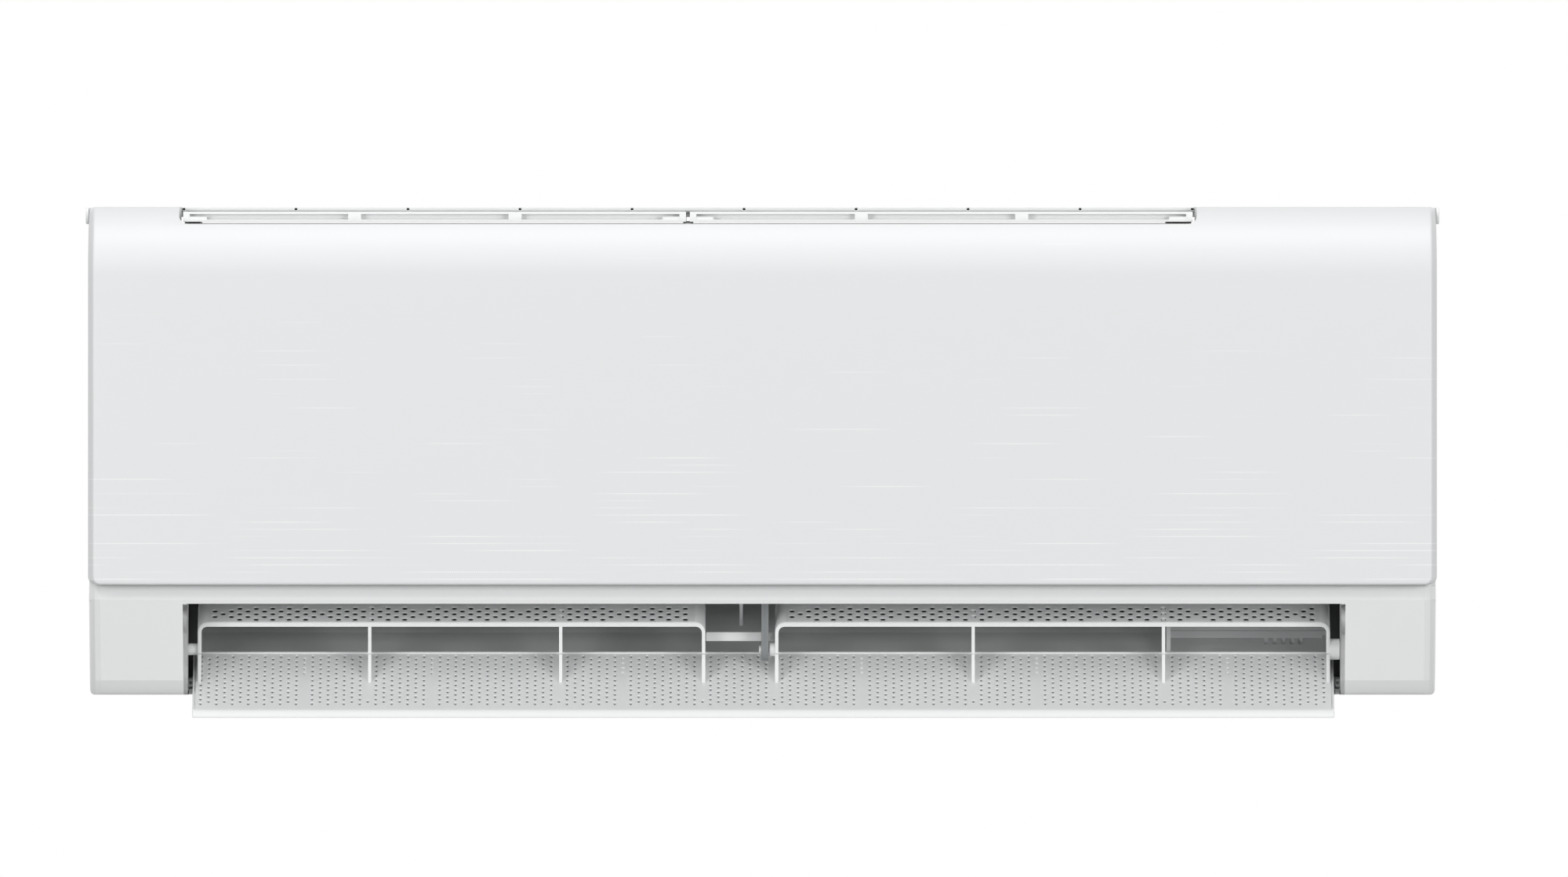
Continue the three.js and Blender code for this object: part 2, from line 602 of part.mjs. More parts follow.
/** A fin pack: fins in groups with grooves between them, on both faces. */
function finPack(line) {
  const pitch = coil.group;
  const count = Math.floor((coil.right - coil.left) / pitch);
  const inner = packProfile(line, -coil.groove);
  const cuts = range(count).map((i) => {
    const x = coil.left + pitch * (i + 0.5);
    return alongX(packProfile(line, 5), x, x + 2).subtract(alongX(inner, x - 1, x + 3));
  });
  return cuts.reduce((left, tool) => left.subtract(tool), alongX(packProfile(line), coil.left, coil.right));
}

for (const [name, line] of Object.entries(coilPacks)) {
  add(unit, `evaporator_${name}`, finPack(line), aluminium);
}

/** Where the tubes of a pack end, a pair for each return bend that shows. */
function bendPairs([[d0, z0], [d1, z1]]) {
  const reach = Math.hypot(d1 - d0, z1 - z0);
  const [u, w] = [(d1 - d0) / reach, (z1 - z0) / reach];
  return [[11, -6], [53, 5]].map(([at, row]) =>
    [at, at + 19].map((s) => [d0 + u * s - w * row, z0 + w * s + u * row]));
}

/** An end plate of the heat exchanger with its return bends. */
function coilEnd(side) {
  const inner = side < 0 ? coil.left - gap : coil.right + gap;
  const x0 = Math.min(inner, inner + side * coil.sheet);
  const sheet = (profile) => alongX(profile, x0, x0 + coil.sheet);
  const bends = Object.values(coilPacks).flatMap((line) => bendPairs(line)).map(([[d0, z0], [d1, z1]]) => {
    const out = (reach) => inner + side * reach;
    const [dm, zm] = [(d0 + d1) / 2, (z0 + z1) / 2];
    const way = [
      [out(0.6), d0, z0], [out(6), d0, z0], [out(11), dm, zm], [out(6), d1, z1], [out(0.6), d1, z1],
    ];
    return tube(way, coil.tube, 4, 6);
  });
  return join(
    Object.values(coilPacks).map((line) => sheet(packProfile(line))),
    sheet([[139, 168], [164, 168], [158, 190], [136, 180]]),
    sheet([[70, 264], [90, 250], [96, 256], [112, 268], [98, 270]]),
    sheet([[120, 146], [142, 146], [142, 164], [120, 164]]),
    bends,
  );
}

add(unit, "coil_end_left", coilEnd(-1), galvanised);
add(unit, "coil_end_right", coilEnd(1), galvanised);

const pipeEnd = nutAt + gap;
const bayLeft = coil.right; // the pipes leave the coil's right end and turn down behind it
add(unit, "gas_pipe", tube([
  [bayLeft + 2, 57, 222], [bayLeft + 13.4, 57, 222], [bayLeft + 20.9, 50, 221], [bayLeft + 20.9, 22, 212],
  [bayLeft + 15.4, gasPipe.d, 188], [bayLeft + 11.4, gasPipe.d, 150], [bayLeft + 11.4, gasPipe.d, 96],
  [bayLeft + 3.4, gasPipe.d, 62], [bayLeft - 20.6, gasPipe.d, gasPipe.z], [100, gasPipe.d, gasPipe.z],
  [pipeEnd, gasPipe.d, gasPipe.z],
], gasPipe.radius, 28, 8), copper);
add(unit, "liquid_pipe", tube([
  [bayLeft + 2.2, 110, 256], [bayLeft + 9.4, 110, 256], [bayLeft + 15.4, 98, 263],
  [bayLeft + 19.4, 60, 269],
  [bayLeft + 23.9, 24, 258], [bayLeft + 24.4, liquidPipe.d, 226], [bayLeft + 24.4, liquidPipe.d, 76],
  [bayLeft + 17.4, liquidPipe.d, 42], [bayLeft - 8.6, liquidPipe.d, liquidPipe.z],
  [100, liquidPipe.d, liquidPipe.z],
  [pipeEnd, liquidPipe.d, liquidPipe.z],
], liquidPipe.radius, 30, 6), copper);

/** A hexagon flare nut on a pipe's end, with the flare's cone in its mouth. */
function flareNut(pipe, across, length) {
  return cut(
    join(
      barX(across / 2, nutAt - length, nutAt, pipe.d, pipe.z, 6),
      barX(pipe.radius + 2, nutAt - length - 4, nutAt, pipe.d, pipe.z, 12),
    ),
    barX(pipe.radius - 1, nutAt - length - 9, nutAt - length + 6, pipe.d, pipe.z, 12),
  );
}

add(unit, "gas_flare_nut", flareNut(gasPipe, 19, 20), brass);
add(unit, "liquid_flare_nut", flareNut(liquidPipe, 14, 16), brass);

/** The clip that holds both pipes against the chassis' back. */
function pipeHolder() {
  const { x0, x1, sheet, back, front } = holder;
  const seat = (pipe) => barX(pipe.radius + gap, x0 - 10, x1 + 10, pipe.d, pipe.z, 12);
  const cheek = (x) => block(x, x + sheet, back + 2.5, front, 25, 66);
  return cut(
    join(block(x0, x1, back, back + 2.6, channel.low - 8, channel.high + 10), cheek(x0), cheek(x1 - sheet)),
    seat(gasPipe), seat(liquidPipe),
  );
}

add(unit, "pipe_holder", pipeHolder(), blackPlastic);

// ---------------------------------------------------------------- fan

/** A point at a radius and turn about the fan's axis, in degrees. */
function aboutFan(radius, turn) {
  const angle = THREE.MathUtils.degToRad(turn);
  return [fan.d + radius * Math.cos(angle), fan.z + radius * Math.sin(angle)];
}

/** The tangential fan: curved blades through a row of rings, with a disc and hub at each end. */
function crossFlowFan() {
  const blades = range(fan.blades).map((i) => {
    const turn = (360 * i) / fan.blades;
    return alongX([
      aboutFan(36.5, turn), aboutFan(41, turn + 3.2), aboutFan(46, turn + 9.5),
      aboutFan(46.4, turn + 7.8), aboutFan(41.6, turn + 1.4), aboutFan(36.5, turn - 2),
    ], fan.left + 1, fan.right - 1);
  });
  const pitch = (fan.right - fan.left - fan.disc) / fan.modules;
  const ring = (x) => cut(
    barX(fan.radius, x, x + fan.disc, fan.d, fan.z, 32),
    barX(fan.radius - 12, x - 1, x + fan.disc + 1, fan.d, fan.z, 22),
  );
  return cut(
    join(
      range(fan.modules - 1).map((i) => ring(fan.left + pitch * (i + 1))), blades,
      barX(fan.radius, fan.left, fan.left + fan.disc, fan.d, fan.z, 32),
      barX(fan.radius, fan.right - fan.disc, fan.right, fan.d, fan.z, 32),
      barX(11, fan.right - 14, fan.right + 4, fan.d, fan.z, 20),
      barX(bearing.stub, fan.left - 10, fan.left + 1, fan.d, fan.z, 12),
    ),
    barX(fanBore, fan.right - 8, fan.right + 10, fan.d, fan.z, 16),
  );
}

add(unit, "cross_flow_fan", crossFlowFan(), fanGrey);
add(unit, "motor_shaft", barX(4, fan.right - 7, motor.left + 4, fan.d, fan.z, 16), steel);
const bearingFace = ductLeft - wall - gap; // the bearing's flange stands on the duct's end wall
add(unit, "fan_bearing", cut(
  join(
    barX(bearing.radius, bearingFace - 2, ductLeft + 3, fan.d, fan.z, 20),
    barX(bearing.flange, bearingFace - 3.6, bearingFace, fan.d, fan.z, 20),
  ),
  barX(bearing.bore, ductLeft - 20, ductLeft + 20, fan.d, fan.z, 12),
), rubber);

const plugD = fan.d + motor.radius - 4; // the motor's wiring socket, on its front
add(unit, "fan_motor", cut(
  join(
    barX(motor.radius, motor.left, motor.right, fan.d, fan.z, 32),
    barX(motor.hub, motor.left - 4, motor.right + 7, fan.d, fan.z, 20),
    block(motor.right - 14, motor.right - 3, plugD, plugD + 5, fan.z - 7, fan.z + 7),
  ),
  barX(fanBore, motor.left - 10, motor.left + 6, fan.d, fan.z, 16),
), darkGrey);

/** The upper half of the motor's clamp, with the flanges that screw down to the cradle. */
function motorClamp() {
  const [x0, x1] = [motor.left + cradle.inset - 1.5, motor.right - cradle.inset - 3.5];
  const ring = cut(
    barX(motor.radius + gap + wall, x0, x1, fan.d, fan.z, 32),
    barX(motor.radius + gap, x0 - 1, x1 + 1, fan.d, fan.z, 32),
    block(x0 - 1, x1 + 1, 0, 200, 0, fan.z + gap),
  );
  const flanges = [
    block(x0, x1, cradle.back, fan.d - motor.radius - 1, fan.z + gap, fan.z + gap + 3),
    block(x0, x1, fan.d + motor.radius + 1, cradle.front + 1, fan.z + gap, fan.z + gap + 3),
  ];
  return join(ring, flanges);
}

add(unit, "motor_clamp", motorClamp(), galvanised);

// ---------------------------------------------------------------- controls

const box = controlBox;
add(unit, "control_box", cut(
  block(box.x0, box.x1, box.back, box.front, box.z0, box.z1),
  block(
    box.x0 + box.wall, box.x1 - box.wall, box.back + box.wall, box.front + 50,
    box.z0 + box.wall, box.z1 - box.wall,
  ),
  block(box.x0 - 5, box.x0 + 5, 110, 130, 200, 220),
), blackPlastic);
add(unit, "control_box_cover", join(
  block(box.x0, box.x1, box.front + gap, box.front + gap + cover, box.z0, box.z1),
  block(box.x0 + 4, box.x1 - 4, box.front - 4, box.front + 1, box.z0 + 3, box.z0 + 5),
  block(box.x0 + 4, box.x1 - 4, box.front - 4, box.front + 1, box.z1 - 5, box.z1 - 3),
), galvanised);

/** The main board, upright in its box, with a relay, a transformer and two capacitors. */
function controlBoard() {
  const x = box.x0 + box.wall + gap;
  return join(
    block(x, x + boardSheet, box.back + 6, box.front - 8, box.z0 + 6, box.z1 - 8),
    block(x + 1, x + 22, 72, 98, 104, 132),
    block(x + 1, x + 17, 106, 136, 108, 126),
    block(x + 1, x + 15, 74, 90, 150, 172),
    barX(8, x + 1, x + 32, 122, 160, 14),
    barX(6, x + 1, x + 24, 122, 182, 14),
    block(x + 1, x + 9, 72, 134, 230, 242),
  );
}

add(unit, "control_board", controlBoard(), boardGreen);

/** The terminal block under the wiring cover, with a screw for each wire. */
function terminalBlock() {
  const [front, back] = [165, box.front + gap + cover + gap];
  const [x0, pitch] = [box.x0 + 6, 9.6];
  const body = block(x0, box.x1 - 8, back, front, 97, 119);
  const posts = range(5).map((i) => x0 + 6.5 + i * pitch);
  const wells = posts.map((x) => block(x - 3.5, x + 3.5, front - 6, front + 1, 100, 116));
  const screws = posts.map((x) => barY(2.4, x, front - 7, front - 3, 108, 8));
  return join(cut(body, wells), screws);
}

add(unit, "terminal_block", terminalBlock(), blackPlastic);

/** The small board behind the panel with the remote's receiver and two lamps. */
function receiverBoard() {
  const x = ductRight - 50;
  const lamp = (at) => barY(2.2, x + at, casingFront + 1, casingFront + 5, 82, 10);
  return join(
    block(x, x + 52, casingFront + gap, casingFront + gap + boardSheet, 74, 90),
    block(x + 6, x + 14, casingFront + 1, casingFront + 6, 78, 86), lamp(24), lamp(34),
  );
}

add(unit, "receiver_board", receiverBoard(), boardGreen);
add(unit, "manual_button", join(
  barY(button.radius, button.x, button.back + 1, casingFront + 1.6, button.z, 16),
  barY(button.flange, button.x, button.back, casingFront - wall - gap, button.z, 16),
), satinWhite);

/** The stepper motor that turns the deflector, behind the outlet's right cheek. */
function deflectorMotor() {
  const face = outletRight + wall + gap;
  const { d, z } = flapPivot;
  return cut(
    join(barX(14, face, face + 19, d, z, 24), block(face, face + 1.4, d - 21, d + 21, z - 4, z + 4),
      block(face + 4, face + 18, d - 9, d + 9, z + 8, z + 17)),
    barX(boss.drive + gap, face - 1, face + 4, d, z, 16),
  );
}

add(unit, "deflector_motor", deflectorMotor(), galvanised);

// ---------------------------------------------------------------- deflector

/** A closed profile of the flap turned to the open rest pose about the pivot. */
function opened(profile) {
  const turn = new THREE.Vector2();
  const pivot = new THREE.Vector2(flapPivot.d, flapPivot.z);
  return profile.map(([d, z]) => {
    turn.set(d, z).rotateAround(pivot, -THREE.MathUtils.degToRad(flapOpen));
    return [turn.x, turn.y];
  });
}

const [leftSpan, rightSpan] = vaneSpans;

/** A round bar on the deflector's pivot. */
function pivotBar(radius, x0, x1, sides = 16) {
  return barX(radius, x0, x1, flapPivot.d, flapPivot.z, sides);
}

const ribHalf = louvre.rib / 2;
const ribPlates = vaneSpans.flatMap(({ x0, x1, ribs }) => [
  [x0, x0 + louvre.wall], ...ribs.map((x) => [x - ribHalf, x + ribHalf]), [x1 - louvre.wall, x1]]);

/** The flap's skin when shut, flush with the casing's lower face, and the hollow inside it. */
function flapSection() {
  const share = 0.915; // how far the flap reaches up the lower face
  const [tipD, tipZ] = [
    lowerFaceFoot.d + share * (lowerFaceTop.d - lowerFaceFoot.d),
    lowerFaceFoot.z + share * (lowerFaceTop.z - lowerFaceFoot.z),
  ];
  const foot = lowerFaceFoot;
  const skin = [
    [bottomFront - 5.7, 0.1], [bottomFront, 0], [bottomFront + 6, 1.5], [foot.d, foot.z], [tipD, tipZ],
    [tipD - 0.5, tipZ + 1.2], [tipD - 3.6, tipZ + 1.3], [tipD - 5.3, tipZ + 0.3], [bottomFront - 6.8, 2.4],
    [bottomFront - 6.8, 1],
  ];
  const cavity = [
    [bottomFront - 2.6, 2.5], [bottomFront + 0.2, 2.3], [bottomFront + 5.2, 3.6],
    [foot.d - 1.9, foot.z + 1.1],
    [tipD - 7.5, tipZ - 8.2], [tipD - 9.9, tipZ - 8.2],
  ];
  return { skin, cavity };
}

/** The flap: a double skin flush with the casing when shut, ribbed inside, with feet for the vanes. */
function flap() {
  const { skin, cavity } = flapSection();
  const stiffeners = stiffenerShares.map((share) => flapLeft + share * (flapRight - flapLeft));
  const walls = stiffeners.flatMap((x) => [x - stiffener / 2, x + stiffener / 2]);
  const edges = [flapLeft + louvre.wall, ...walls, flapRight - louvre.wall];
  const cells = range(stiffeners.length + 1).map((i) =>
    alongX(opened(cavity), edges[2 * i], edges[2 * i + 1]));
  const [[coreD, coreZ]] = opened([[lowerFaceFoot.d - 0.5, lowerFaceFoot.z + 11]]);
  const footTop = splitHeight - gap;
  const foot = [
    [louvre.back + 2, footTop], [louvre.front, footTop], [louvre.front, 6.9], [louvre.back + 2, 20.9],
  ];
  return cut(
    join(alongX(opened(skin), flapLeft, flapRight), ribPlates.map(([x0, x1]) => alongX(foot, x0, x1))),
    cells, barX(3, flapLeft - 5, flapRight + 5, coreD, coreZ, 12),
    pivotBar(boss.left + gap, leftSpan.x0 - 1, leftSpan.x0 + 4),
    pivotBar(boss.inner + gap, rightSpan.x0 - 1, rightSpan.x0 + 4),
    pivotBar(boss.right + gap, rightSpan.x1 - 4, rightSpan.x1 + 1, 24),
  );
}

add(unit, "flap", flap(), satinWhite);

/** Points of a quarter round in the front outline, about (x, z). */
function corner(x, z, radius, from, to) {
  return arc(x, z, radius, radius, from, to, 4);
}

/** A front outline drawn back from the louvre's rim, rising with the roof's slope. */
function sloped(outline, d0, d1) {
  const shape = new THREE.Shape(outline.map(([x, z]) => new THREE.Vector2(x, z)));
  const geometry = new THREE.ExtrudeGeometry(shape, { depth: d1 - d0, bevelEnabled: false });
  const rise = Math.tan(THREE.MathUtils.degToRad(louvre.slope));
  geometry.rotateX(Math.PI / 2).translate(0, -d0, 0);
  geometry.translate(0, louvre.front, 0);
  geometry.applyMatrix4(new THREE.Matrix4().makeShear(0, 0, 0, rise, 0, 0));
  geometry.translate(0, -louvre.front, 0);
  return solidOf(geometry);
}

/** An upper vane: a roof that rises to the back over a rounded frame, on its ribs. */
function upperVane({ x0, x1, ribs }) {
  const { rim, wall: side, corner: r, front, back, top } = louvre;
  const outer = [
    [x0, 0], ...corner(x0 + r, top - r, r, 180, 90), ...corner(x1 - r, top - r, r, 90, 0), [x1, 0],
  ];
  const edges = [x0 + side, ...ribs.flatMap((x) => [x - ribHalf, x + ribHalf]), x1 - side];
  const hollows = range(ribs.length + 1).map((i) => {
    const [a, b] = [edges[2 * i], edges[2 * i + 1]];
    const left = i === 0 ? corner(a + 4, top - rim - 4, 4, 180, 90) : [[a, top - rim]];
    const right = i === ribs.length ? corner(b - 4, top - rim - 4, 4, 90, 0) : [[b, top - rim]];
    return sloped([[a, -30], ...left, ...right, [b, -30]], back - 1, front + 1);
  });
  return cut(sloped(outer, back, front), hollows, block(-far, far, 0, panelFront, -60, splitHeight));
}

add(unit, "upper_vane_left", join(
  upperVane(leftSpan), pivotBar(boss.left, outletLeft - 3.4, leftSpan.x0 + 1),
), satinWhite);
add(unit, "upper_vane_right", join(
  upperVane(rightSpan),
  pivotBar(boss.inner, rightSpan.x0 - 3.6, rightSpan.x0 + 1),
  pivotBar(boss.pin, rightSpan.x0 - 9.9, rightSpan.x0),
  pivotBar(boss.right, rightSpan.x1 - 1, outletRight - gap, 24),
  pivotBar(boss.drive, rightSpan.x1, outletRight + wall + gap + 3.5),
), satinWhite);
add(unit, "vane_link_bar", block(leftSpan.x1 + gap, rightSpan.x0 - gap, 117, 121.4, 33, 38.7), darkGrey);

/** The arm that hangs from the duct's ceiling and holds the deflector's middle pivot. */
function centreBracket() {
  const armX = rightSpan.x0 - 8.4;
  const foot = arc(flapPivot.d, flapPivot.z, 7, 7, 200, 360, 8);
  const side = [...foot, [143.5, 42], [147, 62.3], [140, 64.4], [133, 69.6], [130, 52], [128, 36]];
  const arm = alongX(side, armX, armX + 4.5);
  const flangeSide = [[147, 60.3], [147, 62.4], [140, 64.5], [133.4, 69.4], [133.4, 66.8], [140, 62]];
  const flange = alongX(flangeSide, armX - 8.3, armX + 13.7);
  return cut(join(arm, flange), pivotBar(boss.pin + gap, armX - 20, armX + 20, 12));
}

add(unit, "centre_bracket", centreBracket(), darkGrey);

// ---------------------------------------------------------------- vertical vanes

/** A vertical vane with its pivot pin, and a notch behind where the tie rod's pin stands. */
function verticalVane(x) {
  const blade = [
    [127, 73.8], [104, 73.8], [92, 66], [82, 52], [82, 43.5], [86, 42.4], [94, 42.4], [104, 56], [113, 64.5],
    [131, 67], [131, 70.8],
  ];
  return join(
    cut(plateAt(x, blade, vane.thick), block(x - 5, x + 5, 70, vane.pinD + 5.4, 55, 61)),
    barZ(vane.pin, x, vane.pinD, 54.5, 61.5, 6),
    barZ(vane.pivot, x, vane.pivotD, 72, 81.8, 8),
  );
}

for (const bank of vaneBanks) {
  const places = range(vane.count).map((i) => bank.first + i * vanePitch);
  places.forEach((x, i) => add(unit, `vertical_vane_${bank.name}_${i + 1}`, verticalVane(x), innerWhite));
  const { low, thick, half, overhang } = tieRod;
  const [x0, x1] = [places[0] - overhang, places.at(-1) + overhang];
  const rod = block(x0, x1, vane.pinD - half, vane.pinD + half, low, low + thick);
  const eyes = places.map((x) => barZ(vane.pin + gap, x, vane.pinD, low - 6, low + 10, 6));
  add(unit, `tie_rod_${bank.name}`, cut(rod, eyes), innerWhite);
}

export default unit;
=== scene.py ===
"""Looks of a wall-mounted air conditioner's indoor unit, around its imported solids.

Sizes are in millimetres, given as x along the unit, d out from the wall and z up from the unit's
underside. spot() turns them into Blender's metres in the part's own frame.
"""

import math

import bmesh
import bpy
from mathutils import Matrix, Vector


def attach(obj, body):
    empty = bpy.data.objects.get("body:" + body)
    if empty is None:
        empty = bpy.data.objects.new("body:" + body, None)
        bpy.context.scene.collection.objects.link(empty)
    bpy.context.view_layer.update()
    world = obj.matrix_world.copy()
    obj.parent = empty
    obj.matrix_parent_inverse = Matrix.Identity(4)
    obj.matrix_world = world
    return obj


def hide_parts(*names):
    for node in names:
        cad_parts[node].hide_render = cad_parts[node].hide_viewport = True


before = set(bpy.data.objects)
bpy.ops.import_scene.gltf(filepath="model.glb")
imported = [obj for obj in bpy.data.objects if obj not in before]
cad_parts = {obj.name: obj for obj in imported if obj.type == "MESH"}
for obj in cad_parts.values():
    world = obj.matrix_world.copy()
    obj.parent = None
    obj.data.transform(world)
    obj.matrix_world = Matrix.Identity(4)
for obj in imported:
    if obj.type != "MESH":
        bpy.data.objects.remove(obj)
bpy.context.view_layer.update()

PLATE_MIDDLE = 175.0  # height of the wall plate's middle above the underside


def spot(x, d, z):
    return Vector((x, -d, z - PLATE_MIDDLE)) / 1000.0


def placed(name, data):
    """A new object of the scene with the given data."""
    made = bpy.data.objects.new(name, data)
    bpy.context.scene.collection.objects.link(made)
    return made


# ---------------------------------------------------------------- colours and materials

GRAIN_STRENGTH = 0.35  # how much of its height a moulded grain shows
DRIFT_MM = 60.0  # size of the patches in which a plastic's colour drifts
DOT_PITCH, ROW_PITCH = 1.35, 4.4  # the panel's dots, along a row and from row to row

def linear(hex_colour):
    """An sRGB hex colour as linear red, green, blue and alpha."""
    parts = [int(hex_colour[i : i + 2], 16) / 255.0 for i in (1, 3, 5)]
    return [c / 12.92 if c <= 0.04045 else ((c + 0.055) / 1.055) ** 2.4 for c in parts] + [1.0]


def add_node(tree, kind, settings=(), **sockets):
    """Adds a node with its settings, and gives each named input a value or a link."""
    made = tree.nodes.new(kind)
    for key, value in dict(settings).items():
        setattr(made, key, value)
    for key, value in sockets.items():
        socket = made.inputs[int(key[1:]) if key[0] == "_" else key.replace("_", " ")]
        if isinstance(value, bpy.types.NodeSocket):
            tree.links.new(value, socket)
        else:
            socket.default_value = value
    return made


def calc(tree, operation, first, second):
    """The result of a math node."""
    return add_node(tree, "ShaderNodeMath", {"operation": operation}, _0=first, _1=second).outputs[0]


def ramp(tree, value, **span):
    """A value carried from one span to another and held at its ends."""
    return add_node(tree, "ShaderNodeMapRange", Value=value, **span).outputs[0]


def blend(tree, factor, low, high):
    """A colour between two others."""
    return add_node(tree, "ShaderNodeMix", {"data_type": "RGBA"}, Factor=factor, _6=low, _7=high).outputs[2]


def noise(tree, place, size_mm, detail):
    """Noise whose patches are about size_mm across."""
    made = add_node(tree, "ShaderNodeTexNoise", Vector=place, Scale=1000.0 / size_mm, Detail=detail)
    return made.outputs["Fac"]


def raised(tree, surface, height, strength, depth_mm):
    """Bumps a surface by a height."""
    bump = add_node(tree, "ShaderNodeBump", Height=height, Strength=strength, Distance=depth_mm / 1000.0)
    tree.links.new(bump.outputs["Normal"], surface.inputs["Normal"])


def shade(colour, share):
    """A linear colour darkened to a share of itself."""
    return [c * share for c in colour[:3]] + [1.0]


def new_material(name, **shader):
    """A material whose shader's sockets have the given values. Returns it with its node tree."""
    made = bpy.data.materials.new(name)
    made.use_nodes = True
    surface = made.node_tree.nodes["Principled BSDF"]
    for key, value in shader.items():
        surface.inputs[key.replace("_", " ")].default_value = value
    return made, made.node_tree, surface


def grained(name, index, grain_mm, height_mm, tone, spread, rough):
    """A plastic, rubber or paint with a fine surface grain, slight colour drift and uneven sheen."""
    made, tree, surface = new_material(name, IOR=index)
    place = add_node(tree, "ShaderNodeTexCoord").outputs["Object"]
    fine = noise(tree, place, grain_mm, 3.0)
    raised(tree, surface, fine, GRAIN_STRENGTH, height_mm)
    base = linear(tone)
    drift = blend(tree, noise(tree, place, DRIFT_MM, 2.0), shade(base, 1.0 - spread), base)
    tree.links.new(drift, surface.inputs["Base Color"])
    tree.links.new(ramp(tree, fine, To_Min=rough[0], To_Max=rough[1]), surface.inputs["Roughness"])
    return made


# Satin ABS, moulded in a fine-etched tool: soft wide highlights and no visible grain from afar.
satin_abs = grained("moulded_satin_ABS", 1.54, 0.5, 0.02, "#EAEBEB", 0.01, (0.34, 0.42))
# The flap and its vanes: the case's satin ABS with the same satin face, painted whiter as painted light for
# their place in the shaded outlet.
vane_abs_painted_lighter = grained("satin_ABS_painted_lighter", 1.54, 0.5, 0.02, "#F3F4F4", 0.01, (0.34, 0.42))
# Off-white polystyrene, moulded for the inside: duller than the case.
duct_ps = grained("moulded_duct_polystyrene", 1.55, 0.8, 0.03, "#EEF0F1", 0.03, (0.42, 0.52))
# The chassis is the same plastic as the duct in a greyer batch.
chassis_ps = grained("moulded_chassis_polystyrene", 1.55, 0.8, 0.03, "#DADCDC", 0.03, (0.42, 0.52))
# Grey acetal of the fixed arm in the middle of the outlet: smooth, slightly waxy.
acetal = grained("moulded_grey_acetal", 1.48, 0.6, 0.02, "#85888A", 0.05, (0.38, 0.46))
# Glass-filled fan plastic: dark, with a coarse dry surface.
fan_as = grained("moulded_glass_filled_AS", 1.57, 1.2, 0.05, "#46494C", 0.06, (0.45, 0.6))
# A dark grey sheet between the skins of the flap and the vanes: painted shade, seen as the dark of their
# holes.
hole_shade_paint = grained("painted_hole_shade", 1.45, 1.2, 0.1, "#3A3C3E", 0.1, (0.7, 0.85))
# Flame-retardant black plastic: control box, terminals, pipe holder and the strips at the duct's ends.
black_abs = grained("moulded_black_ABS", 1.54, 0.6, 0.03, "#1B1D1E", 0.08, (0.4, 0.5))
# Motor shell: painted dark grey over pressed steel.
motor_paint = grained("painted_motor_shell", 1.5, 2.0, 0.04, "#3A3E41", 0.05, (0.3, 0.4))
# Moulded rubber: matt, with a faint bloom.
rubber = grained("moulded_EPDM_rubber", 1.52, 1.0, 0.05, "#202122", 0.15, (0.7, 0.85))
# Polypropylene filter frame and net: pale, slightly waxy.
filter_pp = grained("moulded_polypropylene", 1.49, 0.7, 0.02, "#F4F5F5", 0.02, (0.4, 0.5))
# Green solder-masked glass epoxy: fairly glossy, with a fine grain for the weave.
board_green = grained("solder_masked_glass_epoxy", 1.55, 0.9, 0.03, "#1F6B3A", 0.12, (0.25, 0.4))


def panel_finish():
    """White panel with a soft sheen: fine broken rows of pale dots, and faint orange peel."""
    made, tree, surface = new_material(
        "gloss_lacquered_ABS", IOR=1.48, Roughness=0.5, Coat_Weight=0.06, Coat_Roughness=0.2, Coat_IOR=1.5
    )
    place = add_node(tree, "ShaderNodeTexCoord").outputs["Object"]
    parts = add_node(tree, "ShaderNodeSeparateXYZ", Vector=place)
    x, z = parts.outputs["X"], parts.outputs["Z"]
    across = calc(tree, "PINGPONG", calc(tree, "MULTIPLY", x, 1000.0 / DOT_PITCH), 0.5)
    rows = calc(tree, "MULTIPLY", z, 1000.0 / ROW_PITCH)
    dot = ramp(tree, across, From_Min=0.12, From_Max=0.3)
    band = ramp(tree, calc(tree, "PINGPONG", rows, 0.5), From_Min=0.38, From_Max=0.47)
    # each row fades in and out along its length, and more rows show low on the panel
    row = add_node(tree, "ShaderNodeMath", {"operation": "FLOOR"}, _0=rows).outputs[0]
    stretch = add_node(tree, "ShaderNodeCombineXYZ", X=x, Y=row, Z=0.0).outputs[0]
    runs = add_node(tree, "ShaderNodeTexNoise", Vector=stretch, Scale=9.0, Detail=1.0).outputs["Fac"]
    height = ramp(tree, z, From_Min=-0.105, From_Max=0.075, To_Min=0.47, To_Max=0.66)
    shown = ramp(tree, calc(tree, "SUBTRACT", runs, height), From_Min=0.0, From_Max=0.12)
    pattern = calc(tree, "MULTIPLY", calc(tree, "MULTIPLY", dot, band), shown)
    tree.links.new(blend(tree, pattern, linear("#DEDFE0"), linear("#F2F3F3")), surface.inputs["Base Color"])
    raised(tree, surface, noise(tree, place, 3.0, 1.0), 0.12, 0.01)
    return made


def metal(name, tone, grain, rough):
    """A bare metal with rolling or drawing marks along X."""
    made, tree, surface = new_material(name, Metallic=1.0)
    place = add_node(tree, "ShaderNodeTexCoord").outputs["Object"]
    drawn = add_node(tree, "ShaderNodeMapping", Vector=place, Scale=(0.06, 1.0, 1.0)).outputs[0]
    marks = noise(tree, drawn, grain, 4.0)
    tree.links.new(ramp(tree, marks, To_Min=rough[0], To_Max=rough[1]), surface.inputs["Roughness"])
    base = linear(tone)
    tree.links.new(blend(tree, marks, shade(base, 0.85), base), surface.inputs["Base Color"])
    raised(tree, surface, marks, 0.2, 0.02)
    return made


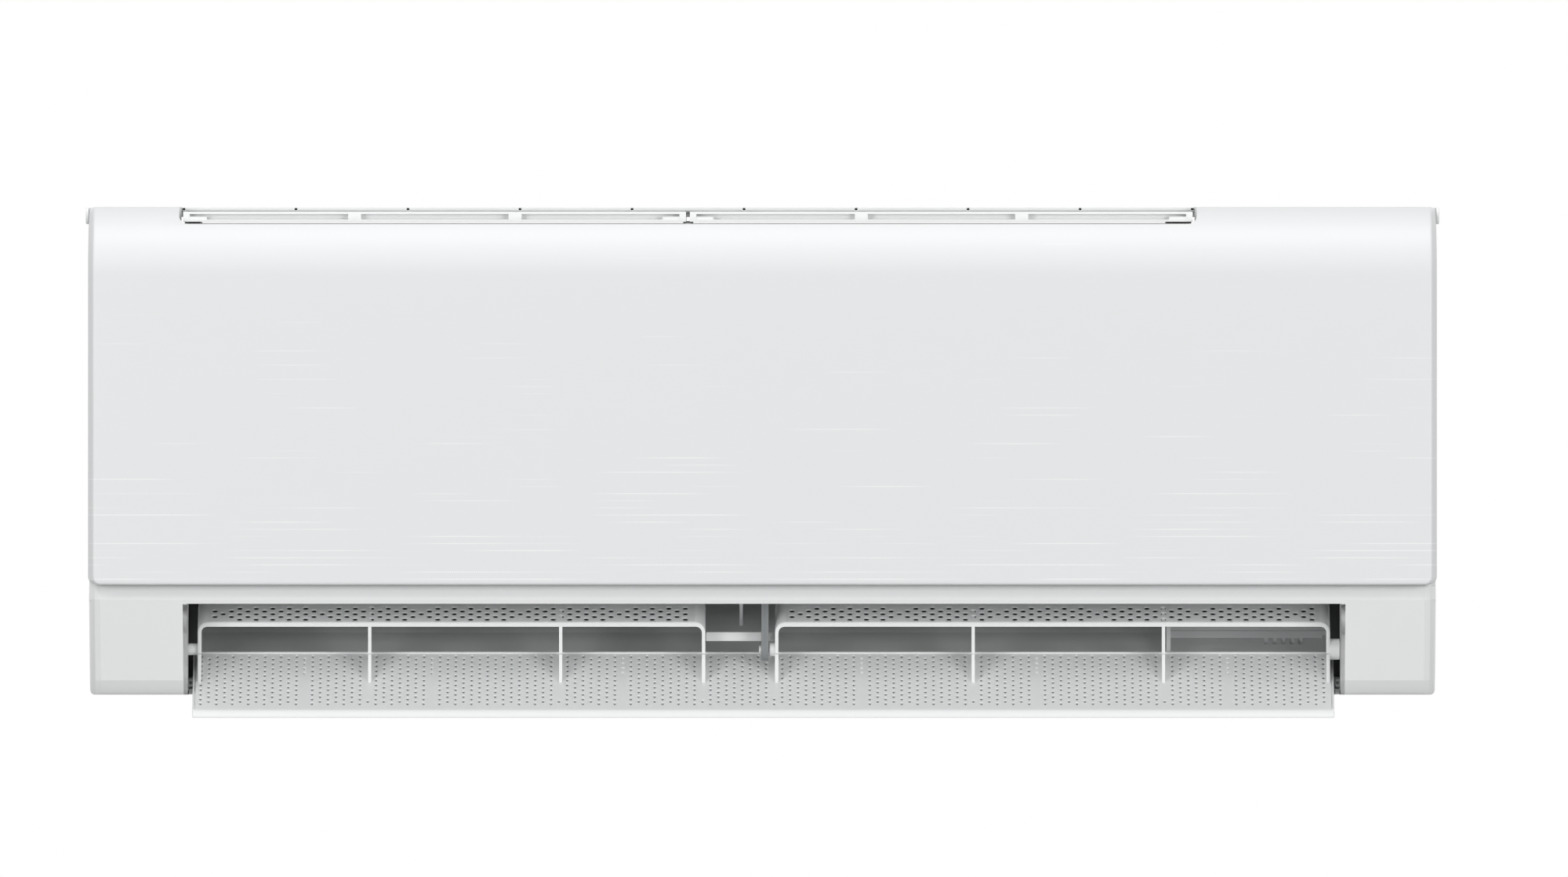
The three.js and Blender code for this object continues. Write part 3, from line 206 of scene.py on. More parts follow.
def ribbed(made, axis, pitch_mm, depth_mm, second=None, front_mm=1000.0, shade_to=0.45):
    """Cuts fine grooves across an axis, and across a second for a net, no further forward than front_mm, and
    darkens the colour in the grooves towards shade_to as painted shade.
    """
    tree, surface = made.node_tree, made.node_tree.nodes["Principled BSDF"]
    place = add_node(tree, "ShaderNodeTexCoord").outputs["Object"]
    parts = add_node(tree, "ShaderNodeSeparateXYZ", Vector=place)
    ridges = []
    for letter in filter(None, (axis, second)):
        wave = calc(tree, "PINGPONG", calc(tree, "MULTIPLY", parts.outputs[letter], 1000.0 / pitch_mm), 0.5)
        ridges.append(ramp(tree, wave, From_Min=0.1, From_Max=0.3))
    height = ridges[0] if len(ridges) == 1 else calc(tree, "MINIMUM", *ridges)
    plain = calc(tree, "LESS_THAN", parts.outputs["Y"], -front_mm / 1000.0)
    height = calc(tree, "MAXIMUM", height, plain)
    raised(tree, surface, height, 0.8, depth_mm)
    # painted shade: the colour in the grooves is darkened towards shade_to
    groove_shade = add_node(
        tree, "ShaderNodeMix", {"data_type": "RGBA", "blend_type": "MULTIPLY"},
        Factor=calc(tree, "SUBTRACT", 1.0, height), _6=surface.inputs["Base Color"].links[0].from_socket,
        _7=(shade_to, shade_to, shade_to, 1.0),
    )
    tree.links.new(groove_shade.outputs[2], surface.inputs["Base Color"])
    return made


panel_white = panel_finish()
zinc_sheet = metal("rolled_zinc_coated_steel", "#B9BDC0", 1.5, (0.3, 0.5))
# Fins 1.6 mm apart, so a pack reads as a comb of foil edges, with painted shade in the gaps between them.
fin_foil = ribbed(metal("coated_aluminium_foil", "#C3CCD2", 1.0, (0.3, 0.45)), "X", 1.6, 0.4)
# The filters' net, woven at 1.8 mm, between their smooth frames, with painted shade in its openings.
filter_net = ribbed(filter_pp, "X", 1.8, 0.3, "Y", 158.0, 0.6)
copper = metal("drawn_copper", "#C98A62", 0.8, (0.22, 0.38))
brass = metal("turned_brass", "#C9A65A", 0.6, (0.2, 0.35))
shaft_steel = metal("ground_steel", "#C9CBCD", 0.5, (0.15, 0.3))

# body, slot and material of the pieces that share them
CASE_WHITE = ("unit", "satin_white_abs", satin_abs)
VANE_WHITE = ("deflector", "satin_white_abs", vane_abs_painted_lighter)
ARM_GREY = ("unit", "dark_grey_plastic", acetal)
HOLE_SHADE = ("deflector", "dark_grey_plastic", hole_shade_paint)

# ---------------------------------------------------------------- shaping


def finish_mesh(name, bm, body, slot, material, *stands_for, smooth=30.0):
    """Turns a bmesh into a piece that rides on a body and stands for the named nodes."""
    bmesh.ops.remove_doubles(bm, verts=bm.verts, dist=1e-6)
    bmesh.ops.recalc_face_normals(bm, faces=bm.faces)
    data = bpy.data.meshes.new(name)
    bm.to_mesh(data)
    bm.free()
    return dress(name, data, body, slot, material, *stands_for, smooth=smooth)


def dress(name, data, body, slot, material, *stands_for, smooth=30.0):
    piece = placed(name, data)
    data.materials.clear()
    data.materials.append(material)
    if smooth:
        data.polygons.foreach_set("use_smooth", [True] * len(data.polygons))
        data.set_sharp_from_angle(angle=math.radians(smooth))
    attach(piece, body)
    if stands_for:
        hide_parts(*stands_for)
    return piece


def arc(d, z, radius_d, radius_z, start, end, steps):
    """Points of an ellipse about (d, z) between two angles in degrees."""
    turns = [math.radians(start + (end - start) * i / steps) for i in range(steps + 1)]
    return [(d + radius_d * math.cos(t), z + radius_z * math.sin(t)) for t in turns]


def offset(points, distance):
    """An open line of points moved to the left of its direction."""
    steps = [Vector(b) - Vector(a) for a, b in zip(points, points[1:])]
    normals = [Vector((-s.y, s.x)).normalized() for s in steps]
    moved = []
    for i, p in enumerate(points):
        before, after = normals[max(i - 1, 0)], normals[min(i, len(normals) - 1)]
        mitre = (before + after).normalized()
        moved.append(tuple(Vector(p) + mitre * distance / max(mitre.dot(after), 0.3)))
    return moved


def bridge(bm, rings):
    """Joins each closed ring of vertices to the next by a band of faces."""
    for a, b in zip(rings, rings[1:]):
        for i in range(len(a)):
            j = (i + 1) % len(a)
            bm.faces.new([a[i], a[j], b[j], b[i]])


def add_prism(bm, profile, x0, x1):
    """Adds a side profile of (d, z) points drawn out from x0 to x1."""
    ends = [[bm.verts.new(spot(x, d, z)) for d, z in profile] for x in (x0, x1)]
    bridge(bm, ends)
    bm.faces.new(ends[0])
    bm.faces.new(ends[1][::-1])


def inset(points, distance):
    """A closed outline of (d, z) points moved inwards."""
    turn = sum(a[0] * b[1] - b[0] * a[1] for a, b in zip(points, points[1:] + points[:1]))
    side = distance if turn > 0 else -distance
    moved = []
    for before, here, after in zip(points[-1:] + points[:-1], points, points[1:] + points[:1]):
        first, second = Vector(here) - Vector(before), Vector(after) - Vector(here)
        a, b = Vector((-first.y, first.x)).normalized(), Vector((-second.y, second.x)).normalized()
        mitre = (a + b).normalized()
        moved.append(tuple(Vector(here) + mitre * side / max(mitre.dot(b), 0.5)))
    return moved


def add_rounded_prism(bm, profile, x0, x1, radius, steps, extra=()):
    """A prism whose ends meet its sides in a quarter round, with extra rings that far in from its ends."""
    turns = [math.radians(90.0 * k / steps) for k in range(steps + 1)]
    stations = [(x0 + radius * (1 - math.cos(t)), radius * (1 - math.sin(t))) for t in turns]
    stations += [(x0 + inner, 0.0) for inner in extra]
    stations += [(x0 + x1 - x, tuck) for x, tuck in reversed(stations)]
    rings = [[bm.verts.new(spot(x, d, z)) for d, z in inset(profile, tuck)] for x, tuck in stations]
    bridge(bm, rings)
    bm.faces.new(rings[0])
    bm.faces.new(rings[-1][::-1])


def add_block(bm, x0, x1, d0, d1, z0, z1):
    add_prism(bm, [(d0, z0), (d1, z0), (d1, z1), (d0, z1)], x0, x1)


def add_front_prism(bm, outline, d0, d1):
    """Adds a front outline of (x, z) points drawn out from d0 to d1."""
    ends = [[bm.verts.new(spot(x, d, z)) for x, z in outline] for d in (d0, d1)]
    bridge(bm, ends)
    bm.faces.new(ends[0][::-1])
    bm.faces.new(ends[1])


def add_bar(bm, radius, start, end, sides=32):
    """Adds a round bar between two (x, d, z) points."""
    a, b = spot(*start), spot(*end)
    turn = (b - a).to_track_quat("Z", "Y").to_matrix().to_4x4()
    bmesh.ops.create_cone(
        bm, cap_ends=True, segments=sides, radius1=radius / 1000.0, radius2=radius / 1000.0,
        depth=(b - a).length, matrix=Matrix.Translation((a + b) / 2) @ turn,
    )


def as_object(bm, name="tool"):
    bmesh.ops.recalc_face_normals(bm, faces=bm.faces)
    data = bpy.data.meshes.new(name)
    bm.to_mesh(data)
    bm.free()
    return placed(name, data)


def settled(shape):
    """The mesh of an object with its modifiers applied. The object itself goes."""
    bpy.context.view_layer.update()
    data = bpy.data.meshes.new_from_object(shape.evaluated_get(bpy.context.evaluated_depsgraph_get()))
    bpy.data.objects.remove(shape)
    return data


def carved(shape, *tools):
    """Cuts the tools, one after another, out of a shape."""
    for tool in tools:
        cut = shape.modifiers.new("cut", "BOOLEAN")
        cut.object, cut.operation, cut.solver = tool, "DIFFERENCE", "EXACT"
        cut.use_self = True
    data = settled(shape)
    for tool in tools:
        bpy.data.objects.remove(tool)
    return placed("shape", data)


def edge_rounded(shape, width, segments=2, over=45.0):
    """Rounds every edge sharper than an angle."""
    rounding = shape.modifiers.new("edges", "BEVEL")
    rounding.width, rounding.segments = width / 1000.0, segments
    rounding.limit_method, rounding.angle_limit = "ANGLE", math.radians(over)
    rounding.use_clamp_overlap = True
    rounding.miter_outer = "MITER_ARC"
    return shape


# ---------------------------------------------------------------- camera, light and floor

SCALE = 0.48354  # millimetres per pixel of the photograph at the panel
PHOTO_WIDTH, PHOTO_HEIGHT = 2000.0, 1119.0  # the photograph, in its pixels
UNIT_MIDDLE, UNIT_FOOT = 972.5, 887.0  # where the unit's middle and underside are in it
# Almost no perspective, as in the photograph.
FAR = 24000.0
SCALED_AT = 185.0  # the depth at which the scale holds
SENSOR = 36.0

camera = placed("camera", bpy.data.cameras.new("camera"))
camera.location = spot(
    (PHOTO_WIDTH / 2 - UNIT_MIDDLE) * SCALE, SCALED_AT + FAR, (UNIT_FOOT - PHOTO_HEIGHT / 2) * SCALE
)
camera.rotation_euler = (math.radians(90), 0, 0)
camera.data.sensor_width = SENSOR
camera.data.lens = SENSOR * FAR / (PHOTO_WIDTH * SCALE)
camera.data.clip_end = 40.0
bpy.context.scene.camera = camera
bpy.context.scene.view_settings.view_transform = "Standard"


def lamp(name, at, aim, size, power):
    made = placed(name, bpy.data.lights.new(name, "AREA"))
    made.data.shape, made.data.size, made.data.size_y = "RECTANGLE", size[0], size[1]
    made.data.energy = power
    made.location = Vector(at)
    made.rotation_euler = (Vector(aim) - Vector(at)).to_track_quat("-Z", "Y").to_euler()


lamp("key_softbox", (-1.7, -2.3, 1.7), (0, 0, 0), (1.2, 1.0), 14.0)
lamp("left_front_softbox", (-2.3, -3.9, 0.3), (0, 0, 0), (1.8, 1.7), 50.0)
lamp("right_front_softbox", (2.3, -3.9, 0.3), (0, 0, 0), (1.8, 1.7), 51.0)
lamp("right_side_softbox", (2.3, -1.0, 0.4), (0.2, -0.1, 0), (0.7, 0.7), 4.5)
lamp("top_softbox", (0.0, -0.3, 2.1), (0, -0.1, 0), (2.4, 1.1), 26.0)

STUDIO_FILL = 0.34  # light from the white studio, which the camera sees at full white
FLOOR_LEVEL, FLOOR_HALF = -1.1, 4.0  # metres

world = bpy.data.worlds.new("studio")
bpy.context.scene.world = world
world.use_nodes = True
sky = world.node_tree
sky.nodes.clear()
ray = add_node(sky, "ShaderNodeLightPath")
seen = calc(sky, "MAXIMUM", ray.outputs["Is Camera Ray"], ray.outputs["Is Glossy Ray"])
seen = calc(sky, "MAXIMUM", seen, ray.outputs["Is Transmission Ray"])
level = ramp(sky, seen, To_Min=STUDIO_FILL, To_Max=1.0)
glow = add_node(sky, "ShaderNodeBackground", Color=(1.0, 1.0, 1.0, 1.0), Strength=level)
add_node(sky, "ShaderNodeOutputWorld", Surface=glow.outputs[0])

floor_bm = bmesh.new()
bmesh.ops.create_grid(
    floor_bm, x_segments=1, y_segments=1, size=FLOOR_HALF, matrix=Matrix.Translation((0, 0, FLOOR_LEVEL))
)
floor = as_object(floor_bm, "floor")
floor_paint, floor_tree, floor_surface = new_material("matt_painted_floor", Roughness=0.8, IOR=1.45)
floor_noise = add_node(floor_tree, "ShaderNodeTexNoise", Scale=3.0, Detail=2.0).outputs["Fac"]
floor_tone = blend(floor_tree, floor_noise, linear("#D6D7D7"), linear("#DCDCDC"))
floor_tree.links.new(floor_tone, floor_surface.inputs["Base Color"])
floor.data.materials.append(floor_paint)

# ---------------------------------------------------------------- front panel

PANEL_HALF, PANEL_FACE, PANEL_FOOT = 415.9, 195.99, 68.2
CROWN_BASE, CROWN_DEPTH, CROWN_HEIGHT = 259.0, 56.0, 42.5
FOOT_ROUND, FOOT_CORNER = 1.6, 5.0
PANEL_REAR, PANEL_WALL, LIP_DEPTH = 165.0, 2.8, 182.6
SIDE_REACH = 13.4  # how far the panel's sides run back before their last edge
NOTCH = {"left": -360.0, "right": 268.0, "floor": 290.9, "corner": 5.0}  # the slot in the crown
# across the panel's end, from its side to its face: how far in from the end, and how far behind the face
END_BEVEL = ((0.0, 8.0), (0.15, 7.2), (0.5, 6.2), (2.5, 1.5), (2.9, 0.8), (3.4, 0.3), (4.0, 0.06), (4.8, 0.0))


def panel_rows():
    """Front and rear points of the panel's side, from its foot up over its crown, with the half width."""
    rows = []
    for turn in range(0, 91, 10):  # the foot's rounded corners, where the face also turns under
        lift = FOOT_CORNER * (1 - math.cos(math.radians(turn)))
        tuck = FOOT_CORNER * (1 - math.sin(math.radians(turn)))
        under = max(0.0, FOOT_ROUND - lift)
        face = PANEL_FACE - FOOT_ROUND + math.sqrt(FOOT_ROUND**2 - under**2)
        rows.append(((face, PANEL_FOOT + lift), (PANEL_REAR, PANEL_FOOT + lift), PANEL_HALF - tuck))
    for i in range(1, 7):
        z = PANEL_FOOT + FOOT_CORNER + (CROWN_BASE - PANEL_FOOT - FOOT_CORNER) * i / 6
        rows.append(((PANEL_FACE, z), (PANEL_REAR, z), PANEL_HALF))
    crown = arc(PANEL_FACE - CROWN_DEPTH, CROWN_BASE, CROWN_DEPTH, CROWN_HEIGHT, 0, 86.5, 30)
    for i, point in enumerate(crown[1:], 1):
        along = i / 30
        late = (along - 0.3) / 0.7
        rear = (PANEL_REAR, CROWN_BASE + 3.0 * along)
        if late >= 0.0:  # the rear edge follows the crown over
            rear = (PANEL_REAR - 21.4 * late, CROWN_BASE + 0.9 + 38.0 * late)
        rows.append((point, rear, PANEL_HALF))
    return rows


def front_panel():
    bm = bmesh.new()
    grid = []
    for (d, z), (rear_d, rear_z), half in panel_rows():
        back = Vector((rear_d - d, rear_z - z))
        inward = back.normalized()
        side = [
            (half, d + back.x, z + back.y),
            (half, d + inward.x * SIDE_REACH, z + inward.y * SIDE_REACH),
        ]
        if back.length < 15.0:
            side[1] = (half, d + back.x * 0.6, z + back.y * 0.6)
        shrink = min(1.0, back.length * 0.4 / END_BEVEL[0][1])
        for tuck, reach in END_BEVEL:
            side.append((half - tuck, d + inward.x * reach * shrink, z + inward.y * reach * shrink))
        face = [((half - END_BEVEL[-1][0]) * (1 - i / 12), d, z) for i in range(1, 12)]
        row = side + face
        row += [(0.0, d, z)] + [(-x, dd, zz) for x, dd, zz in reversed(row)]
        grid.append([bm.verts.new(spot(*p)) for p in row])
    for low, high in zip(grid, grid[1:]):
        for i in range(len(low) - 1):
            bm.faces.new([low[i], low[i + 1], high[i + 1], high[i]])
    foot = grid[0][1:-1]
    lip = [bm.verts.new(Vector((v.co.x, -LIP_DEPTH / 1000.0, v.co.z))) for v in foot]
    for i in range(len(foot) - 1):
        bm.faces.new([foot[i], lip[i], lip[i + 1], foot[i + 1]])
    bmesh.ops.remove_doubles(bm, verts=bm.verts, dist=1e-6)
    bmesh.ops.dissolve_degenerate(bm, edges=bm.edges, dist=1e-6)
    shell = as_object(bm, "panel_shell")
    skin = shell.modifiers.new("wall", "SOLIDIFY")
    skin.thickness, skin.offset, skin.use_even_offset = PANEL_WALL / 1000.0, -1.0, True
    notch = bmesh.new()
    r = NOTCH["corner"]
    corner_left = arc(NOTCH["left"] + r, NOTCH["floor"] + r, r, r, 180, 270, 6)
    corner_right = arc(NOTCH["right"] - r, NOTCH["floor"] + r, r, r, 270, 360, 6)
    above = [(NOTCH["right"], 330), (NOTCH["left"], 330)]
    add_front_prism(notch, corner_left + corner_right + above, 100, 230)
    shell = placed("panel_shell", settled(shell))
    shell = carved(shell, as_object(notch))
    data = settled(edge_rounded(shell, 0.7, 2, 50))
    dress("front_panel_shell", data, "panel", "gloss_white_panel", panel_white, "front_panel", smooth=35)


# ---------------------------------------------------------------- front casing

CASING_HALF, CASING_TOP, WALL = 415.5, 301.49, 2.6
OUTLET = {"left": -355.0, "right": 357.0, "top": 56.4}
PIVOT = (135.8, 28.1)  # the deflector's axis, as d and z
HINGE = (146.0, 296.0)  # the panel's axis
INTAKE = {"left": -359.0, "right": 267.0, "back": 30.0, "sill": 291.4}
COVE = [
    (186.0, 59.0), (185.6, 60.0), (184.9, 61.3), (183.8, 63.0), (182.5, 65.0), (181.2, 67.2), (180.2, 69.2),
]
LOWER_FACE = [
    (140.0, 0.0), (143.5, 0.4), (146.5, 1.6), (149.5, 3.6), (152.6, 6.0), (156.0, 9.0), (186.0, 59.0),
]
# cut from the casing's ends, where the panel's sides reach back over them
SHOULDER = [
    (163.8, 67.0), (210.0, 67.0), (210.0, 320.0), (139.0, 320.0),
    (139.0, 290.5), (142.5, 289.3), (163.8, 261.6),
]
SHOULDER_HALF, HOLLOW_HALF = 412.2, 409.6
COIL_WINDOW = (-338.0, 238.0, 150.0, 220.0, 92.0, 246.0)  # the opening between panel and coil
CLIPS = (-313.0, -87.0, 44.0, 221.0, 356.0)


def casing_outline():
    crown = arc(139.0, 258.0, 41.0, 35.0, 0, 90, 12)
    return [(6.0, 0.0)] + LOWER_FACE + COVE + crown + [
        (139.0, CASING_TOP), (30.0, CASING_TOP), (14.0, CASING_TOP - 1.2),
        (8.0, CASING_TOP - 3.4), (6.0, CASING_TOP - 5.0),
    ]


def front_casing():
    outline = casing_outline()
    bm = bmesh.new()
    add_rounded_prism(bm, outline, -CASING_HALF, CASING_HALF, 3.0, 8, (3.6, 4.4, 5.4, 6.4, 7.0, 7.6))
    # the face falls away to the ends: a steep outer border, then a fillet up to the field
    for vert in bm.verts:
        out, d = CASING_HALF - abs(vert.co.x) * 1000.0, -vert.co.y * 1000.0
        fall = max(0.0, 7.0 - out) * 0.62 + max(0.0, 3.6 - out) * 1.0
        vert.co.y += fall * min(1.0, max(0.0, (d - 120.0) / 30.0)) / 1000.0
    body = as_object(bm)
    tools = []

    def tool(shape, *sizes):
        cutter = bmesh.new()
        shape(cutter, *sizes)
        tools.append(as_object(cutter))

    tool(add_prism, SHOULDER, SHOULDER_HALF, 500.0)
    tool(add_prism, SHOULDER, -500.0, -SHOULDER_HALF)
    hollow = [(-20.0, WALL)] + offset([(6.0, 0.0)] + LOWER_FACE + COVE, WALL)[1:-1] + [
        (177.4, 258.0), (139.0, 290.2), (136.4, 298.9), (30.0, 298.9), (-20.0, 292.9)]
    tool(add_prism, hollow, -HOLLOW_HALF, HOLLOW_HALF)
    tool(add_block, OUTLET["left"], OUTLET["right"], 100.0, 220.0, -10.0, OUTLET["top"])
    tool(add_block, WALL - CASING_HALF, CASING_HALF - WALL, -50.0, 111.0, -10.0, 3.6)
    tool(add_block, INTAKE["left"], INTAKE["right"], INTAKE["back"], 220.0, INTAKE["sill"], 320.0)
    tool(add_block, *COIL_WINDOW)
    body = carved(body, *tools)
    data = settled(edge_rounded(body, 0.5, 2, 35))
    dress("front_casing_shell", data, *CASE_WHITE, "front_casing", smooth=16)

    cheeks = bmesh.new()
    section = [(112.0, 0.0)] + LOWER_FACE + [(184.4, OUTLET["top"] - 0.2), (112.0, OUTLET["top"] - 0.2)]
    for x0, x1 in ((OUTLET["left"] - WALL, OUTLET["left"]), (OUTLET["right"], OUTLET["right"] + WALL)):
        add_prism(cheeks, section, x0, x1)
    hole = bmesh.new()
    add_bar(hole, 5.3, (-380, *PIVOT), (380, *PIVOT))
    cheek_body = carved(as_object(cheeks), as_object(hole))
    dress("outlet_cheeks", settled(cheek_body), *CASE_WHITE, smooth=35)

    lugs = bmesh.new()
    for x in (OUTLET["left"] - 0.5, OUTLET["right"] - 2.6):
        add_block(lugs, x, x + 3.1, 112.0, 118.0, 4.9, 9.7)
    holes = bmesh.new()
    for x in (OUTLET["left"] + 1.3, OUTLET["right"] - 1.3):
        add_bar(holes, 0.85, (x, 100, 7.3), (x, 130, 7.3), 20)
    lug_body = carved(as_object(lugs), as_object(holes))
    dress("outlet_screw_lugs", settled(edge_rounded(lug_body, 0.25)), *CASE_WHITE)


def hinge_ears():
    """The casing's ears beyond the panel's ends, on its axis. The pins between them are left out."""
    nose = arc(HINGE[0], HINGE[1], 5.0, 5.0, -90, 90, 8)
    ears = bmesh.new()
    for x0, x1 in ((-418.0, -416.2), (416.2, 418.0)):
        add_rounded_prism(ears, [(118.0, HINGE[1] - 5.0)] + nose + [(118.0, HINGE[1] + 5.0)], x0, x1, 0.5, 3)
    for x0, x1 in ((-417.4, -414.5), (414.5, 417.4)):
        add_block(ears, x0, x1, 118.4, 138.5, HINGE[1] - 4.8, HINGE[1] + 4.8)
    dress("casing_hinge_ears", settled(as_object(ears)), *CASE_WHITE, smooth=35)


def top_clips():
    """The clips along the top edge, where the casing hooks over the chassis."""
    bm = bmesh.new()
    for x in CLIPS:
        add_block(bm, x - 7.0, x + 7.0, 8.0, 22.0, CASING_TOP - 3.0, CASING_TOP - 0.6)
    dress("casing_top_clips", settled(edge_rounded(as_object(bm), 0.5)), *CASE_WHITE)


# ---------------------------------------------------------------- perforated sheets


HOLE_RIM = 0.3  # each hole's edge is broken by this much
HOLE_SIDES = 12


def perforated_sheet(columns, rows, pitch, row_pitch, hole_at, corner, along, normal, size, thickness):
    """A flat sheet of staggered holes with broken edges, round or stretched along v.

    Columns and rows count the cells. Each cell is the six-sided share of the sheet around a hole, and
    hole_at(u, v, column) gives the hole's radius there, or nothing. size trims the sheet.
    """
    bm = bmesh.new()
    tall, wide = row_pitch / 2, (pitch**2 + row_pitch**2 / 4) / (2 * pitch)
    narrow = (pitch**2 - row_pitch**2 / 4) / (2 * pitch)
    rim = [(wide, 0), (narrow, tall), (-narrow, tall), (-wide, 0), (-narrow, -tall), (narrow, -tall)]
    round_turns = [math.radians(360 / HOLE_SIDES * k) for k in range(HOLE_SIDES)]

    def ring(u, v, radius, w):
        tall_radius = radius * hole_at.stretch
        around = [(u + radius * math.cos(t), v + tall_radius * math.sin(t), w) for t in round_turns]
        return [bm.verts.new(point) for point in around]

    def surface(cell, hole):
        for k in range(6):
            n = (k + 1) % 6
            bm.faces.new([cell[k], cell[n], hole[2 * n], hole[2 * k + 1], hole[2 * k]])

    for i in range(-1, columns + 1):
        for j in range(-2, rows + 2):
            u, v = hole_at.first_u + i * pitch, hole_at.first_v + (j + (i % 2) / 2) * row_pitch
            radius = hole_at(u, v, i)
            upper, lower = ([bm.verts.new((u + a, v + b, w)) for a, b in rim] for w in (0.0, -thickness))
            if not radius:
                bm.faces.new(upper)
                bm.faces.new(lower)
                continue
            levels = ((radius + HOLE_RIM, 0.0), (radius, -HOLE_RIM), (radius, -thickness))
            rings = [ring(u, v, size_here, w) for size_here, w in levels]
            surface(upper, rings[0])
            surface(lower, rings[-1])
            bridge(bm, rings)
    bmesh.ops.remove_doubles(bm, verts=bm.verts, dist=0.01)
    (u0, u1), (v0, v1) = size
    trims = (
        ((u0, 0, 0), (-1, 0, 0)), ((u1, 0, 0), (1, 0, 0)),
        ((0, v0, 0), (0, -1, 0)), ((0, v1, 0), (0, 1, 0)),
    )
    for point, side in trims:
        geometry = list(bm.verts) + list(bm.edges) + list(bm.faces)
        bmesh.ops.bisect_plane(bm, geom=geometry, plane_co=point, plane_no=side, clear_outer=True)
    under = {(round(v.co.x, 2), round(v.co.y, 2)): v for v in bm.verts if v.co.z < -thickness + 0.01}
    for edge in [e for e in bm.edges if e.is_boundary]:
        a, b = edge.verts
        if a.co.z > -0.01 and b.co.z > -0.01:
            below = [under.get((round(v.co.x, 2), round(v.co.y, 2))) for v in (b, a)]
            if all(below):
                bm.faces.new([a, b, *below])
    for vert in bm.verts:
        u, v, w = vert.co
        d, z = corner[0] + along[0] * v + normal[0] * w, corner[1] + along[1] * v + normal[1] * w
        vert.co = spot(u, d, z)
    return bm


# ---------------------------------------------------------------- deflector: flap

FLAP_LEFT, FLAP_RIGHT = -352.0, 353.0
STIFFENERS = (-282.1, -203.3, -86.3, 61.4, 169.3, 287.0)
SPANS = (
    {"name": "left", "x0": -349.0, "x1": -35.3, "ribs": (-242.7, -124.7)},
    {"name": "right", "x0": 7.7, "x1": 350.7, "ribs": (130.2, 247.8)},
)
FLAP_TURN = math.radians(80.0)  # from shut to the open rest position


def opened(points):
    """Side points of the shut flap, turned about the pivot to its open rest position."""
    c, s = math.cos(FLAP_TURN), math.sin(FLAP_TURN)
    out = []
    for d, z in points:
        u, w = d - PIVOT[0], z - PIVOT[1]
        out.append((PIVOT[0] + u * c + w * s, PIVOT[1] - u * s + w * c))
    return out


def unit_step(a, b):
    length = math.hypot(b[0] - a[0], b[1] - a[1])
    return (b[0] - a[0]) / length, (b[1] - a[1]) / length, length


INNER_REAR, INNER_NOSE = opened([(133.2, 2.4), (178.15, 55.05)])
OUTER_FOOT, OUTER_TIP = opened([(156.0, 9.0), (183.45, 54.75)])
SKIN = 1.1  # wall of the flap's skins


def flap_holes():
    def hole(u, v, column):
        if not (4.0 < v < 67.5):
            return None
        if u < FLAP_LEFT + 3.6 or u > FLAP_RIGHT - 3.6:
            return None
        ribs = [r for span in SPANS for r in (*span["ribs"], span["x1"] - 1.1, span["x0"] + 1.1)]
        if min(abs(u - r) for r in ribs) < 2.6 and v < 56.0 and abs(u) < 346:
            return None
        if min(abs(u - s) for s in STIFFENERS) < 2.5 and v > 26.0:
            return None
        if v > 63.6:
            return 1.12 if column % 2 == 0 else None
        return 0.92

    hole.first_u, hole.first_v, hole.stretch = FLAP_LEFT + 5.0, 5.4, 1.35
    return hole


